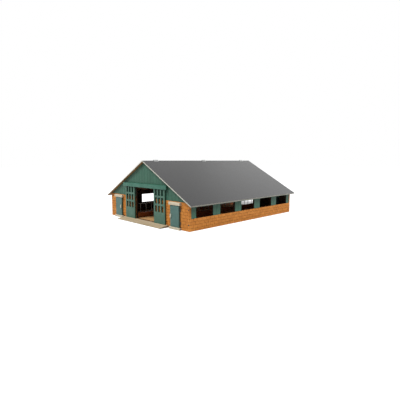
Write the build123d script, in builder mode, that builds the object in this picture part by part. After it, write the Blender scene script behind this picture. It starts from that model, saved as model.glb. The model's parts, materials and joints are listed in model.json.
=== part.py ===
from build123d import *
from math import cos, radians, sin, tan
import os

# Toy cattle barn with opening doors and an opening roof.
# Millimetres. X runs across the gables, Y from the front gable to the rear one, Z is up.
# The origin is the middle of the barn, on the surface that it stands on.

os.makedirs("parts", exist_ok=True)

# ---------------------------------------------------------------- driving sizes

# House body
body_width = 560.0  # outside to outside of the side walls
body_length = 706.0  # outside to outside of the gables
gable_thickness = 9.0
side_wall_thickness = 9.0
side_wall_height = 105.9
floor_thickness = 9.0

# Roof boards
roof_angle = 28.87  # slope of the boards, in degrees
roof_thickness = 4.0
eave_overhang = 20.0  # past the side walls, in plan
verge_overhang = 12.0  # past the gables
ridge_gap = 1.8  # open joint between the two boards
roof_seat_gap = 0.2  # between the boards and the walls under them

# Side wall windows
window_count = 5
window_sill = 48.0
window_top_rail = 15.9  # wall left over the windows
window_pillar = 43.0  # wall left between two windows
end_pillar = 35.0  # from a gable's outer face to the first window

# Wide doorway and its pair of sliding doors
doorway_width = 140.0
sliding_door_thickness = 5.0
sliding_door_standoff = 2.0  # from the gable to the door's back
sliding_door_lap = 3.0  # how far a shut door covers the doorway's edge
meeting_gap = 0.5  # between the two shut doors
door_stile = 9.25  # upright at each side of a sliding door
door_mullion = 7.0  # upright between two panes
door_bar = 7.5  # crosspiece between two panes
door_top_rail = 6.5
door_lower_panel = 50.2
pane_columns = 3
pane_rows = 3
door_edge_round = 0.6

# Header rail over the sliding doors, grooved underneath
header_height = 16.0
header_depth = 11.0
header_end = 13.0  # solid end that stops the open door
header_roof_clearance = 8.2  # from its upper corners to the roof boards
header_groove_depth = 8.0
header_door_engagement = 6.0  # how far a door's top edge stands in the groove
header_edge_round = 1.0
slide_clearance = 0.3  # between a door and each wall of its grooves
stop_clearance = 0.5  # between an open door and the end of its groove

# Ramp, grooved for the doors' bottom edges
ramp_depth = 43.0
ramp_landing = 10.0  # level part next to the gable
ramp_toe = 2.5  # thickness of its front edge
ramp_groove_depth = 3.0
ramp_door_gap = 0.3  # under the doors' bottom edges

# Small hinged doors
small_door_offset = 20.5  # from the header rail's end to the door's inner edge
small_door_width = 51.5
small_door_head = 93.5
small_door_thickness = 6.0
small_door_standoff = 2.0  # from the gable to the door's back, room for the hinge leaves
small_door_lap = 5.0  # how far the door covers the edges of its doorway
small_door_floor_gap = 0.8
small_door_round = 0.8

# Handle of a small door
handle_width = 6.0
handle_height = 14.0
handle_proud = 4.0
handle_bottom = 45.0
handle_inset = 2.2  # from the door's inner edge
handle_round = 1.2
handle_peg_radius = 1.5
handle_peg_length = 4.0
peg_clearance = 0.05

# Lintel and step of a small door
lintel_width = 66.0
lintel_height = 11.0
lintel_depth = 10.5
lintel_gap = 1.0  # above the door's top edge
lintel_round = 0.8
step_width = 64.0
step_depth = 10.5
step_round = 0.8

# Hinges of the small doors
door_hinge_length = 14.0
door_hinge_inset = 16.0  # from the door's end to the hinge's middle
door_barrel_radius = 1.6
door_barrel_wall_gap = 0.1  # between the barrel and the gable
door_barrel_side_gap = 0.4  # between the barrel and the door's edge
door_pin_radius = 0.8
door_leaf_thickness = 0.8
door_leaf_reach = 10.0
door_leaf_screw_radius = 0.6
door_leaf_screw_head = 1.3
door_leaf_screw_length = 4.0

# Hinges on the ridge
ridge_hinge_inset = 58.0  # from a gable's outer face to the first hinge's middle
ridge_hinge_length = 25.0
ridge_barrel_radius = 1.3
ridge_pin_radius = 0.65
ridge_leaf_thickness = 0.6
ridge_leaf_reach = 9.5
ridge_leaf_screw_radius = 0.7
ridge_leaf_screw_head = 1.4
ridge_leaf_screw_length = 3.6
ridge_eye_thickness = 0.9
ridge_eye_depth = 8.0  # how deep the eye's plate is let into the beam
eye_clearance = 0.05
pin_clearance = 0.05
knuckle_gap = 0.3

# Ridge beam
ridge_beam_width = 16.0
ridge_beam_depth = 20.0

# Feed fences along the middle passage
passage_width = 156.0  # between the kick boards
kick_board_thickness = 6.0
kick_board_height = 22.0
fence_height = 63.0  # from the floor to the top of the fence's rail
fence_post_radius = 1.25
fence_rail_width = 4.0
fence_rail_thickness = 3.0
fence_intervals = 21
fence_end_inset = 22.0  # from a gable's inner face to the first post
fence_post_seat = 5.0  # how deep a post stands in the kick board
fence_post_top_seat = 2.0  # how far a post reaches up into the rail
fence_rail_end = 8.0  # rail past its last post
post_clearance = 0.05

# Wood screws through the gables, into side walls and ridge beam
panel_screw_radius = 1.75
panel_screw_head_radius = 3.2
panel_screw_head_height = 2.0
panel_screw_length = 30.0
corner_screw_low = 25.0
corner_screw_high = 82.0
ridge_screw_drop = 12.0  # below the ridge beam's top

# Small wood screws for trim and kick boards
trim_screw_radius = 1.25
trim_screw_head_radius = 2.4
trim_screw_head_height = 1.5
trim_screw_length = 16.0
header_screw_inset = 7.0  # from the header rail's end
lintel_screw_inset = 14.0  # from the lintel's end
kick_screw_inset = 60.0  # from a gable's inner face
kick_screws = 4  # along each kick board
screw_clearance = 0.05

# Dowels between the floor panel and the walls
dowel_radius = 2.5
dowel_in_wall = 5.5
dowel_in_floor = 12.0
dowel_clearance = 0.05
side_dowels = 4  # along each side wall
side_dowel_inset = 70.0  # from a gable's inner face
gable_dowels = 4  # along each gable
gable_dowel_inset = 32.0  # from a side wall's inner face

# ---------------------------------------------------------------- worked-out sizes

ENDS = {"front": -1, "rear": 1}
SIDES = {"left": -1, "right": 1}

half_width = body_width / 2
half_length = body_length / 2
inner_half_width = half_width - side_wall_thickness
inner_half_length = half_length - gable_thickness
pitch = radians(roof_angle)
eave_underside = side_wall_height + roof_seat_gap
roof_plumb_thickness = roof_thickness / cos(pitch)  # of the boards, measured straight down
# Height at which the top planes of the two boards would meet
ridge_height = eave_underside + half_width * tan(pitch) + roof_plumb_thickness


def roof_underside(distance):
    """Height of the roof boards' underside at a distance from the ridge line."""
    return eave_underside + (half_width - distance) * tan(pitch)


def wall_top(distance):
    """Height of the walls' top edges under the roof boards."""
    return roof_underside(distance) - roof_seat_gap


sliding_door_width = doorway_width / 2 + sliding_door_lap
header_half_length = doorway_width / 2 + sliding_door_width + stop_clearance + header_end
groove_half_length = header_half_length - header_end
doorway_head = roof_underside(header_half_length) - header_roof_clearance - header_height
window_head = side_wall_height - window_top_rail
sliding_door_bottom = floor_thickness - ramp_groove_depth + ramp_door_gap
sliding_door_top = doorway_head + header_door_engagement
sliding_travel = doorway_width / 2 - meeting_gap / 2

small_door_inner_edge = header_half_length + small_door_offset
small_door_outer_edge = small_door_inner_edge + small_door_width
small_door_middle = (small_door_inner_edge + small_door_outer_edge) / 2
small_door_bottom = floor_thickness + small_door_floor_gap
small_doorway_width = small_door_width - 2 * small_door_lap
small_doorway_head = small_door_head - small_door_lap
lintel_bottom = small_door_head + lintel_gap
lintel_middle = lintel_bottom + lintel_height / 2

door_axis_x = small_door_outer_edge + door_barrel_side_gap + door_barrel_radius
door_axis_proud = door_barrel_radius + door_barrel_wall_gap
door_hinge_heights = (small_door_bottom + door_hinge_inset, small_door_head - door_hinge_inset)

ridge_axis_height = ridge_height + ridge_barrel_radius / cos(pitch)
ridge_stations = (ridge_hinge_inset - half_length, 0.0, half_length - ridge_hinge_inset)

fence_middle = passage_width / 2 + kick_board_thickness / 2
kick_board_top = floor_thickness + kick_board_height
fence_top = floor_thickness + fence_height


# ---------------------------------------------------------------- shared shapes


def outer_face(end):
    """Plane on a gable's outer face: local y is up, and the normal points out of the barn."""
    return Plane(origin=(0, end * half_length, 0), x_dir=(-end, 0, 0), z_dir=(0, end, 0))


def outward_axis(end):
    """Axis that points out of the barn through a gable."""
    return Axis((0, 0, 0), (0, end, 0))


def across(end, side, distance):
    """Local x on a gable's outer face of a point at this distance from the middle."""
    return -end * side * distance


def evenly(count, reach):
    """Positions from -reach to +reach with equal steps."""
    return [-reach + 2 * reach * index / (count - 1) for index in range(count)]


def countersunk_screw(seat, radius, head_radius, head_height, length, clearance=0.0):
    """A screw with its flat head in the plane seat and its shank against the plane's normal.

    With a clearance it is the hole for that screw.
    """
    with BuildPart() as screw:
        with BuildSketch(seat):
            Circle(head_radius + clearance)
        with BuildSketch(seat.offset(-head_height)):
            Circle(radius + clearance)
        loft(ruled=True)
        with BuildSketch(seat.offset(-head_height)):
            Circle(radius + clearance)
        extrude(amount=-(length - head_height + clearance))
    return screw.part


def panel_screw(seat, clearance=0.0):
    """The long screw that joins the walls, or its hole."""
    return countersunk_screw(
        seat, panel_screw_radius, panel_screw_head_radius, panel_screw_head_height,
        panel_screw_length, clearance,
    )


def trim_screw(seat, clearance=0.0):
    """The short screw that holds trim and kick boards, or its hole."""
    return countersunk_screw(
        seat, trim_screw_radius, trim_screw_head_radius, trim_screw_head_height,
        trim_screw_length, clearance,
    )


def dowel(base, clearance=0.0):
    """A dowel that starts in a wall at the plane base and runs along its normal into the floor."""
    with BuildPart() as peg:
        with BuildSketch(base.offset(-clearance)):
            Circle(dowel_radius + clearance)
        extrude(amount=dowel_in_wall + dowel_in_floor + 2 * clearance)
    return peg.part


def hinge_leaf(frame, length, knuckles, own, barrel, hole, plate_low, plate_high, reach):
    """One leaf of a butt hinge.

    The frame's origin is one end of the pin's axis, its z runs along the axis and its x along
    the leaf. The plate lies between plate_low and plate_high on the frame's y, and the
    knuckles numbered in own belong to this leaf.
    """
    knuckle = length / knuckles
    plate_start = barrel + knuckle_gap
    plate_middle = (plate_low + plate_high) / 2
    with BuildPart() as leaf:
        with BuildSketch(frame):
            with Locations(((plate_start + reach) / 2, plate_middle)):
                Rectangle(reach - plate_start, plate_high - plate_low)
        extrude(amount=length)
        for index in own:
            with BuildSketch(frame.offset(index * knuckle + knuckle_gap / 2)):
                Circle(barrel)
                with Locations((plate_start / 2, plate_middle)):
                    Rectangle(plate_start, plate_high - plate_low)
            extrude(amount=knuckle - knuckle_gap)
        with BuildSketch(frame):
            Circle(hole)
        extrude(amount=length, mode=Mode.SUBTRACT)
    return leaf.part


def leaf_seat(frame, along, height, level, drive):
    """Plane of a screw head on a hinge leaf; the screw is driven towards the frame's y times drive."""
    spot = frame.from_local_coords(Vector(along, level, height))
    return Plane(origin=spot, x_dir=frame.z_dir, z_dir=frame.y_dir * -drive)


def hinge_pin(frame, length, radius):
    """The pin of a hinge, along the frame's z."""
    with BuildPart() as pin:
        with BuildSketch(frame):
            Circle(radius)
        extrude(amount=length)
    return pin.part


# ---------------------------------------------------------------- places of the fasteners

corner_screw_x = half_width - side_wall_thickness / 2
ridge_screw_height = wall_top(0) - ridge_screw_drop


def panel_screw_seats(end):
    """Screws through one gable: two into the end of each side wall and one into the ridge beam."""
    face = outer_face(end)
    spots = [(0, ridge_screw_height)]
    for side in SIDES.values():
        spots.append((across(end, side, corner_screw_x), corner_screw_low))
        spots.append((across(end, side, corner_screw_x), corner_screw_high))
    return [Plane(face.from_local_coords(Vector(x, z, 0)), face.x_dir, face.z_dir) for x, z in spots]


def trim_screw_seats(end):
    """Screws driven outwards through one gable: four into the header rail and two into each lintel."""
    face = outer_face(end)
    header_level = doorway_head + (header_height + header_groove_depth) / 2
    header_reach = header_half_length - header_screw_inset
    spots = [(x, header_level) for x in evenly(4, header_reach)]
    for side in SIDES.values():
        for offset in evenly(2, lintel_width / 2 - lintel_screw_inset):
            spots.append((across(end, side, small_door_middle) + offset, lintel_middle))
    return [
        Plane(face.from_local_coords(Vector(x, z, -gable_thickness)), face.x_dir, -face.z_dir)
        for x, z in spots
    ]


def kick_screw_seats(side):
    """Screws driven up through the floor panel into one kick board."""
    reach = inner_half_length - kick_screw_inset
    return [Plane((side * fence_middle, y, 0), (1, 0, 0), (0, 0, -1)) for y in evenly(kick_screws, reach)]


def side_dowel_bases(side):
    """Dowels between one side wall and the floor panel, each plane facing inwards."""
    x = side * (inner_half_width + dowel_in_wall)
    reach = inner_half_length - side_dowel_inset
    return [
        Plane((x, y, floor_thickness / 2), (0, 1, 0), (-side, 0, 0)) for y in evenly(side_dowels, reach)
    ]


def gable_dowel_bases(end):
    """Dowels between one gable and the floor panel, each plane facing inwards."""
    y = end * (inner_half_length + dowel_in_wall)
    reach = inner_half_width - gable_dowel_inset
    return [
        Plane((x, y, floor_thickness / 2), (1, 0, 0), (0, -end, 0)) for x in evenly(gable_dowels, reach)
    ]


# ---------------------------------------------------------------- hinge frames


def door_hinge_frame(end, side, height):
    """Frame of one small door hinge: x along the leaves, y out of the barn, z along the pin."""
    turn = -side * end
    origin = (
        side * door_axis_x,
        end * (half_length + door_axis_proud),
        height - turn * door_hinge_length / 2,
    )
    return Plane(origin, (-side, 0, 0), (0, 0, turn))


def ridge_hinge_frame(side, station):
    """Frame of one ridge hinge for one roof board: x down its slope, y into the board."""
    origin = (0, station - side * ridge_hinge_length / 2, ridge_axis_height)
    return Plane(origin, (side * cos(pitch), 0, -sin(pitch)), (0, side, 0))


door_wall_leaf_low = -door_axis_proud
door_wall_leaf_high = door_wall_leaf_low + door_leaf_thickness
door_leaf_high = small_door_standoff - door_axis_proud
door_leaf_low = door_leaf_high - door_leaf_thickness
door_leaf_screw_along = (door_barrel_radius + door_leaf_reach) / 2
door_leaf_screw_heights = (door_hinge_length / 4, door_hinge_length * 3 / 4)
ridge_leaf_high = ridge_barrel_radius
ridge_leaf_low = ridge_leaf_high - ridge_leaf_thickness
ridge_leaf_screw_along = (ridge_barrel_radius + ridge_leaf_reach) / 2
ridge_leaf_screw_heights = (ridge_hinge_length / 5, ridge_hinge_length * 4 / 5)


def wall_leaf_seats(end, side):
    """Seats of the screws in the two wall leaves of one small door."""
    frames = [door_hinge_frame(end, side, height) for height in door_hinge_heights]
    return [
        leaf_seat(frame, door_leaf_screw_along, height, door_wall_leaf_high, -1)
        for frame in frames
        for height in door_leaf_screw_heights
    ]


def door_leaf_seats(end, side):
    """Seats of the screws in the two door leaves of one small door."""
    frames = [door_hinge_frame(end, side, height) for height in door_hinge_heights]
    return [
        leaf_seat(frame, door_leaf_screw_along, height, door_leaf_low, 1)
        for frame in frames
        for height in door_leaf_screw_heights
    ]


def ridge_leaf_seats(side):
    """Seats of the screws in the ridge hinge leaves of one roof board."""
    frames = [ridge_hinge_frame(side, station) for station in ridge_stations]
    return [
        leaf_seat(frame, ridge_leaf_screw_along, height, ridge_leaf_low, 1)
        for frame in frames
        for height in ridge_leaf_screw_heights
    ]


def door_leaf_screw(seat, clearance=0.0):
    """The tiny screw of a small door's hinge, or its hole."""
    return countersunk_screw(
        seat, door_leaf_screw_radius, door_leaf_screw_head, door_leaf_thickness,
        door_leaf_screw_length, clearance,
    )


def ridge_leaf_screw(seat, clearance=0.0):
    """The screw of a ridge hinge, or its hole."""
    return countersunk_screw(
        seat, ridge_leaf_screw_radius, ridge_leaf_screw_head, ridge_leaf_thickness,
        ridge_leaf_screw_length, clearance,
    )


# ---------------------------------------------------------------- gables

for end_name, end in ENDS.items():
    with BuildPart() as gable:
        with BuildSketch(outer_face(end)):
            with BuildLine():
                Polyline(
                    (-half_width, 0), (half_width, 0), (half_width, wall_top(half_width)),
                    (0, wall_top(0)), (-half_width, wall_top(half_width)), close=True,
                )
            make_face()
            with Locations((0, (floor_thickness + doorway_head) / 2)):
                Rectangle(doorway_width, doorway_head - floor_thickness, mode=Mode.SUBTRACT)
            with Locations(
                (small_door_middle, (floor_thickness + small_doorway_head) / 2),
                (-small_door_middle, (floor_thickness + small_doorway_head) / 2),
            ):
                Rectangle(small_doorway_width, small_doorway_head - floor_thickness, mode=Mode.SUBTRACT)
        extrude(amount=-gable_thickness)
        for seat in panel_screw_seats(end):
            add(panel_screw(seat, screw_clearance), mode=Mode.SUBTRACT)
        for seat in trim_screw_seats(end):
            add(trim_screw(seat, screw_clearance), mode=Mode.SUBTRACT)
        for base in gable_dowel_bases(end):
            add(dowel(base, dowel_clearance), mode=Mode.SUBTRACT)
        for side in SIDES.values():
            for seat in wall_leaf_seats(end, side):
                add(door_leaf_screw(seat, screw_clearance), mode=Mode.SUBTRACT)
    gable.part.label = f"{end_name}_gable"
    export_step(gable.part, f"parts/{end_name}_gable.step")

# ---------------------------------------------------------------- side walls

window_space = body_length - 2 * end_pillar + window_pillar
window_pitch = window_space / window_count
window_width = window_pitch - window_pillar

for side_name, side in SIDES.items():
    with BuildPart() as side_wall:
        with BuildSketch(Plane.XZ):
            with BuildLine():
                Polyline(
                    (side * inner_half_width, 0), (side * half_width, 0),
                    (side * half_width, wall_top(half_width)),
                    (side * inner_half_width, wall_top(inner_half_width)), close=True,
                )
            make_face()
        extrude(amount=inner_half_length, both=True)
        with BuildSketch(Plane.YZ.offset(side * half_width)):
            with Locations((0, (window_sill + window_head) / 2)):
                with GridLocations(window_pitch, 1, window_count, 1):
                    Rectangle(window_width, window_head - window_sill)
        extrude(amount=-side * side_wall_thickness, mode=Mode.SUBTRACT)
        for end in ENDS.values():
            for seat in panel_screw_seats(end):
                add(panel_screw(seat, screw_clearance), mode=Mode.SUBTRACT)
        for base in side_dowel_bases(side):
            add(dowel(base, dowel_clearance), mode=Mode.SUBTRACT)
    side_wall.part.label = f"{side_name}_side_wall"
    export_step(side_wall.part, f"parts/{side_name}_side_wall.step")

# ---------------------------------------------------------------- floor panel

with BuildPart() as floor_panel:
    with BuildSketch(Plane.XY):
        Rectangle(2 * inner_half_width, 2 * inner_half_length)
    extrude(amount=floor_thickness)
    for end in ENDS.values():
        for base in gable_dowel_bases(end):
            add(dowel(base, dowel_clearance), mode=Mode.SUBTRACT)
    for side in SIDES.values():
        for base in side_dowel_bases(side):
            add(dowel(base, dowel_clearance), mode=Mode.SUBTRACT)
        for seat in kick_screw_seats(side):
            add(trim_screw(seat, screw_clearance), mode=Mode.SUBTRACT)
floor_panel.part.label = "floor_panel"
export_step(floor_panel.part, "parts/floor_panel.step")

# ---------------------------------------------------------------- ridge beam

with BuildPart() as ridge_beam:
    with BuildSketch(Plane.XZ):
        with BuildLine():
            Polyline(
                (-ridge_beam_width / 2, wall_top(0) - ridge_beam_depth),
                (ridge_beam_width / 2, wall_top(0) - ridge_beam_depth),
                (ridge_beam_width / 2, wall_top(ridge_beam_width / 2)),
                (0, wall_top(0)),
                (-ridge_beam_width / 2, wall_top(ridge_beam_width / 2)), close=True,
            )
        make_face()
    extrude(amount=inner_half_length, both=True)
    for station in ridge_stations:
        with BuildSketch(Plane.XY.offset(wall_top(0))):
            with Locations((0, station)):
                Rectangle(
                    ridge_eye_thickness + 2 * eye_clearance,
                    ridge_hinge_length / 5 - knuckle_gap + 2 * eye_clearance,
                )
        extrude(amount=-(ridge_eye_depth + eye_clearance), mode=Mode.SUBTRACT)
    for end in ENDS.values():
        for seat in panel_screw_seats(end):
            add(panel_screw(seat, screw_clearance), mode=Mode.SUBTRACT)
ridge_beam.part.label = "ridge_beam"
export_step(ridge_beam.part, "parts/ridge_beam.step")

# ---------------------------------------------------------------- fasteners of the house body

with BuildPart() as panel_screws:
    for end in ENDS.values():
        for seat in panel_screw_seats(end):
            add(panel_screw(seat))
panel_screws.part.label = "panel_screws"
export_step(panel_screws.part, "parts/panel_screws.step")

with BuildPart() as trim_screws:
    for end in ENDS.values():
        for seat in trim_screw_seats(end):
            add(trim_screw(seat))
trim_screws.part.label = "trim_screws"
export_step(trim_screws.part, "parts/trim_screws.step")

with BuildPart() as kick_board_screws:
    for side in SIDES.values():
        for seat in kick_screw_seats(side):
            add(trim_screw(seat))
kick_board_screws.part.label = "kick_board_screws"
export_step(kick_board_screws.part, "parts/kick_board_screws.step")

with BuildPart() as floor_dowels:
    for end in ENDS.values():
        for base in gable_dowel_bases(end):
            add(dowel(base))
    for side in SIDES.values():
        for base in side_dowel_bases(side):
            add(dowel(base))
floor_dowels.part.label = "floor_dowels"
export_step(floor_dowels.part, "parts/floor_dowels.step")

# ---------------------------------------------------------------- header rails and ramps

groove_back = sliding_door_standoff - slide_clearance
groove_width = sliding_door_thickness + 2 * slide_clearance

for end_name, end in ENDS.items():
    with BuildPart() as header_rail:
        with BuildSketch(outer_face(end)):
            with Locations((0, doorway_head + header_height / 2)):
                Rectangle(2 * header_half_length, header_height)
        extrude(amount=header_depth)
        fillet(header_rail.faces().sort_by(outward_axis(end))[-1].edges(), header_edge_round)
        with BuildSketch(outer_face(end).offset(groove_back)):
            with Locations((0, doorway_head + header_groove_depth / 2)):
                Rectangle(2 * groove_half_length, header_groove_depth)
        extrude(amount=groove_width, mode=Mode.SUBTRACT)
        for seat in trim_screw_seats(end):
            add(trim_screw(seat, screw_clearance), mode=Mode.SUBTRACT)
    header_rail.part.label = f"{end_name}_header_rail"
    export_step(header_rail.part, f"parts/{end_name}_header_rail.step")

    with BuildPart() as ramp:
        with BuildSketch(Plane.YZ):
            with BuildLine():
                Polyline(
                    (end * half_length, 0), (end * (half_length + ramp_depth), 0),
                    (end * (half_length + ramp_depth), ramp_toe),
                    (end * (half_length + ramp_landing), floor_thickness),
                    (end * half_length, floor_thickness), close=True,
                )
            make_face()
        extrude(amount=header_half_length, both=True)
        with BuildSketch(outer_face(end).offset(groove_back)):
            with Locations((0, floor_thickness - ramp_groove_depth / 2)):
                Rectangle(2 * groove_half_length, ramp_groove_depth)
        extrude(amount=groove_width, mode=Mode.SUBTRACT)
    ramp.part.label = f"{end_name}_ramp"
    export_step(ramp.part, f"parts/{end_name}_ramp.step")

# ---------------------------------------------------------------- sliding doors, shown open

pane_width = (sliding_door_width - 2 * door_stile - (pane_columns - 1) * door_mullion) / pane_columns
pane_space = sliding_door_top - door_top_rail - sliding_door_bottom - door_lower_panel
pane_height = (pane_space - (pane_rows - 1) * door_bar) / pane_rows
pane_middle = sliding_door_top - door_top_rail - pane_space / 2

for end_name, end in ENDS.items():
    for side_name, side in SIDES.items():
        middle = across(end, side, doorway_width / 2 + sliding_door_width / 2)
        with BuildPart() as sliding_door:
            with BuildSketch(outer_face(end).offset(sliding_door_standoff)):
                with Locations((middle, (sliding_door_bottom + sliding_door_top) / 2)):
                    Rectangle(sliding_door_width, sliding_door_top - sliding_door_bottom)
                with Locations((middle, pane_middle)):
                    with GridLocations(
                        pane_width + door_mullion, pane_height + door_bar, pane_columns, pane_rows
                    ):
                        Rectangle(pane_width, pane_height, mode=Mode.SUBTRACT)
            extrude(amount=sliding_door_thickness)
            fillet(sliding_door.edges().filter_by(Axis.Z).group_by(Axis.X)[0], door_edge_round)
            fillet(sliding_door.edges().filter_by(Axis.Z).group_by(Axis.X)[-1], door_edge_round)
        sliding_door.part.label = f"{end_name}_{side_name}_sliding_door"
        export_step(sliding_door.part, f"parts/{end_name}_{side_name}_sliding_door.step")

# ---------------------------------------------------------------- small doors, steps and lintels


def handle_peg(end, side, clearance=0.0):
    """The peg of a small door's handle, set into the door's face, or its hole."""
    face = outer_face(end).offset(small_door_standoff + small_door_thickness)
    spot = face.from_local_coords(Vector(handle_across(end, side), handle_bottom + handle_height / 2, 0))
    with BuildPart() as peg:
        with BuildSketch(Plane(spot, face.x_dir, face.z_dir)):
            Circle(handle_peg_radius + clearance)
        extrude(amount=-(handle_peg_length + clearance))
    return peg.part


def handle_across(end, side):
    """Local x of a handle's middle on its gable."""
    return across(end, side, small_door_inner_edge + handle_inset + handle_width / 2)


for end_name, end in ENDS.items():
    for side_name, side in SIDES.items():
        place = f"{end_name}_{side_name}"
        middle = across(end, side, small_door_middle)
        outwards = outward_axis(end)

        with BuildPart() as small_door:
            with BuildSketch(outer_face(end).offset(small_door_standoff)):
                with Locations((middle, (small_door_bottom + small_door_head) / 2)):
                    Rectangle(small_door_width, small_door_head - small_door_bottom)
            extrude(amount=small_door_thickness)
            fillet(small_door.faces().sort_by(outwards)[-1].edges(), small_door_round)
            add(handle_peg(end, side, peg_clearance), mode=Mode.SUBTRACT)
            for seat in door_leaf_seats(end, side):
                add(door_leaf_screw(seat, screw_clearance), mode=Mode.SUBTRACT)
        small_door.part.label = f"{place}_small_door"
        export_step(small_door.part, f"parts/{place}_small_door.step")

        with BuildPart() as handle:
            with BuildSketch(outer_face(end).offset(small_door_standoff + small_door_thickness)):
                with Locations((handle_across(end, side), handle_bottom + handle_height / 2)):
                    Rectangle(handle_width, handle_height)
            extrude(amount=handle_proud)
            fillet(handle.faces().sort_by(outwards)[-1].edges(), handle_round)
            add(handle_peg(end, side))
        handle.part.label = f"{place}_handle"
        export_step(handle.part, f"parts/{place}_handle.step")

        with BuildPart() as door_leaves:
            for height in door_hinge_heights:
                add(hinge_leaf(
                    door_hinge_frame(end, side, height), door_hinge_length, 3, (1,), door_barrel_radius,
                    door_pin_radius + pin_clearance, door_leaf_low, door_leaf_high, door_leaf_reach,
                ))
            for seat in door_leaf_seats(end, side):
                add(door_leaf_screw(seat, screw_clearance), mode=Mode.SUBTRACT)
        door_leaves.part.label = f"{place}_door_leaves"
        export_step(door_leaves.part, f"parts/{place}_door_leaves.step")

        with BuildPart() as door_leaf_screws:
            for seat in door_leaf_seats(end, side):
                add(door_leaf_screw(seat))
        door_leaf_screws.part.label = f"{place}_door_leaf_screws"
        export_step(door_leaf_screws.part, f"parts/{place}_door_leaf_screws.step")

        with BuildPart() as step:
            with BuildSketch(outer_face(end)):
                with Locations((middle, floor_thickness / 2)):
                    Rectangle(step_width, floor_thickness)
            extrude(amount=step_depth)
            fillet(step.faces().sort_by(outwards)[-1].edges().sort_by(Axis.Z)[-1], step_round)
        step.part.label = f"{place}_step"
        export_step(step.part, f"parts/{place}_step.step")

        with BuildPart() as lintel:
            with BuildSketch(outer_face(end)):
                with Locations((middle, lintel_middle)):
                    Rectangle(lintel_width, lintel_height)
            extrude(amount=lintel_depth)
            fillet(lintel.faces().sort_by(outwards)[-1].edges(), lintel_round)
            for seat in trim_screw_seats(end):
                add(trim_screw(seat, screw_clearance), mode=Mode.SUBTRACT)
        lintel.part.label = f"{place}_lintel"
        export_step(lintel.part, f"parts/{place}_lintel.step")

with BuildPart() as door_wall_leaves:
    for end in ENDS.values():
        for side in SIDES.values():
            for height in door_hinge_heights:
                add(hinge_leaf(
                    door_hinge_frame(end, side, height), door_hinge_length, 3, (0, 2), door_barrel_radius,
                    door_pin_radius + pin_clearance, door_wall_leaf_low, door_wall_leaf_high,
                    door_leaf_reach,
                ))
            for seat in wall_leaf_seats(end, side):
                add(door_leaf_screw(seat, screw_clearance), mode=Mode.SUBTRACT)
door_wall_leaves.part.label = "door_wall_leaves"
export_step(door_wall_leaves.part, "parts/door_wall_leaves.step")

with BuildPart() as wall_leaf_screws:
    for end in ENDS.values():
        for side in SIDES.values():
            for seat in wall_leaf_seats(end, side):
                add(door_leaf_screw(seat))
wall_leaf_screws.part.label = "wall_leaf_screws"
export_step(wall_leaf_screws.part, "parts/wall_leaf_screws.step")

with BuildPart() as door_hinge_pins:
    for end in ENDS.values():
        for side in SIDES.values():
            for height in door_hinge_heights:
                add(hinge_pin(door_hinge_frame(end, side, height), door_hinge_length, door_pin_radius))
door_hinge_pins.part.label = "door_hinge_pins"
export_step(door_hinge_pins.part, "parts/door_hinge_pins.step")

# ---------------------------------------------------------------- roof boards and ridge hinges

roof_half_length = half_length + verge_overhang
eave_distance = half_width + eave_overhang

for side_name, side in SIDES.items():
    with BuildPart() as roof_board:
        with BuildSketch(Plane.XZ):
            with BuildLine():
                Polyline(
                    (side * ridge_gap / 2, roof_underside(ridge_gap / 2)),
                    (side * eave_distance, roof_underside(eave_distance)),
                    (side * eave_distance, roof_underside(eave_distance) + roof_plumb_thickness),
                    (side * ridge_gap / 2, roof_underside(ridge_gap / 2) + roof_plumb_thickness),
                    close=True,
                )
            make_face()
        extrude(amount=roof_half_length, both=True)
        for seat in ridge_leaf_seats(side):
            add(ridge_leaf_screw(seat, screw_clearance), mode=Mode.SUBTRACT)
    roof_board.part.label = f"{side_name}_roof_board"
    export_step(roof_board.part, f"parts/{side_name}_roof_board.step")

    with BuildPart() as ridge_leaves:
        for station in ridge_stations:
            add(hinge_leaf(
                ridge_hinge_frame(side, station), ridge_hinge_length, 5, (1, 4), ridge_barrel_radius,
                ridge_pin_radius + pin_clearance, ridge_leaf_low, ridge_leaf_high, ridge_leaf_reach,
            ))
        for seat in ridge_leaf_seats(side):
            add(ridge_leaf_screw(seat, screw_clearance), mode=Mode.SUBTRACT)
    ridge_leaves.part.label = f"{side_name}_ridge_leaves"
    export_step(ridge_leaves.part, f"parts/{side_name}_ridge_leaves.step")

    with BuildPart() as ridge_leaf_screws:
        for seat in ridge_leaf_seats(side):
            add(ridge_leaf_screw(seat))
    ridge_leaf_screws.part.label = f"{side_name}_ridge_leaf_screws"
    export_step(ridge_leaf_screws.part, f"parts/{side_name}_ridge_leaf_screws.step")

eye_bottom = wall_top(0) - ridge_eye_depth

with BuildPart() as ridge_eyes:
    for station in ridge_stations:
        with BuildSketch(Plane.XZ.offset(-station)):
            with Locations((0, (eye_bottom + ridge_axis_height) / 2)):
                Rectangle(ridge_eye_thickness, ridge_axis_height - eye_bottom)
            with Locations((0, ridge_axis_height)):
                Circle(ridge_barrel_radius)
                Circle(ridge_pin_radius + pin_clearance, mode=Mode.SUBTRACT)
        extrude(amount=(ridge_hinge_length / 5 - knuckle_gap) / 2, both=True)
ridge_eyes.part.label = "ridge_eyes"
export_step(ridge_eyes.part, "parts/ridge_eyes.step")

with BuildPart() as ridge_pins:
    for station in ridge_stations:
        add(hinge_pin(ridge_hinge_frame(1, station), ridge_hinge_length, ridge_pin_radius))
ridge_pins.part.label = "ridge_pins"
export_step(ridge_pins.part, "parts/ridge_pins.step")

# ---------------------------------------------------------------- kick boards and feed fences

fence_reach = inner_half_length - fence_end_inset
post_stations = evenly(fence_intervals + 1, fence_reach)
rail_bottom = fence_top - fence_rail_thickness

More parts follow.
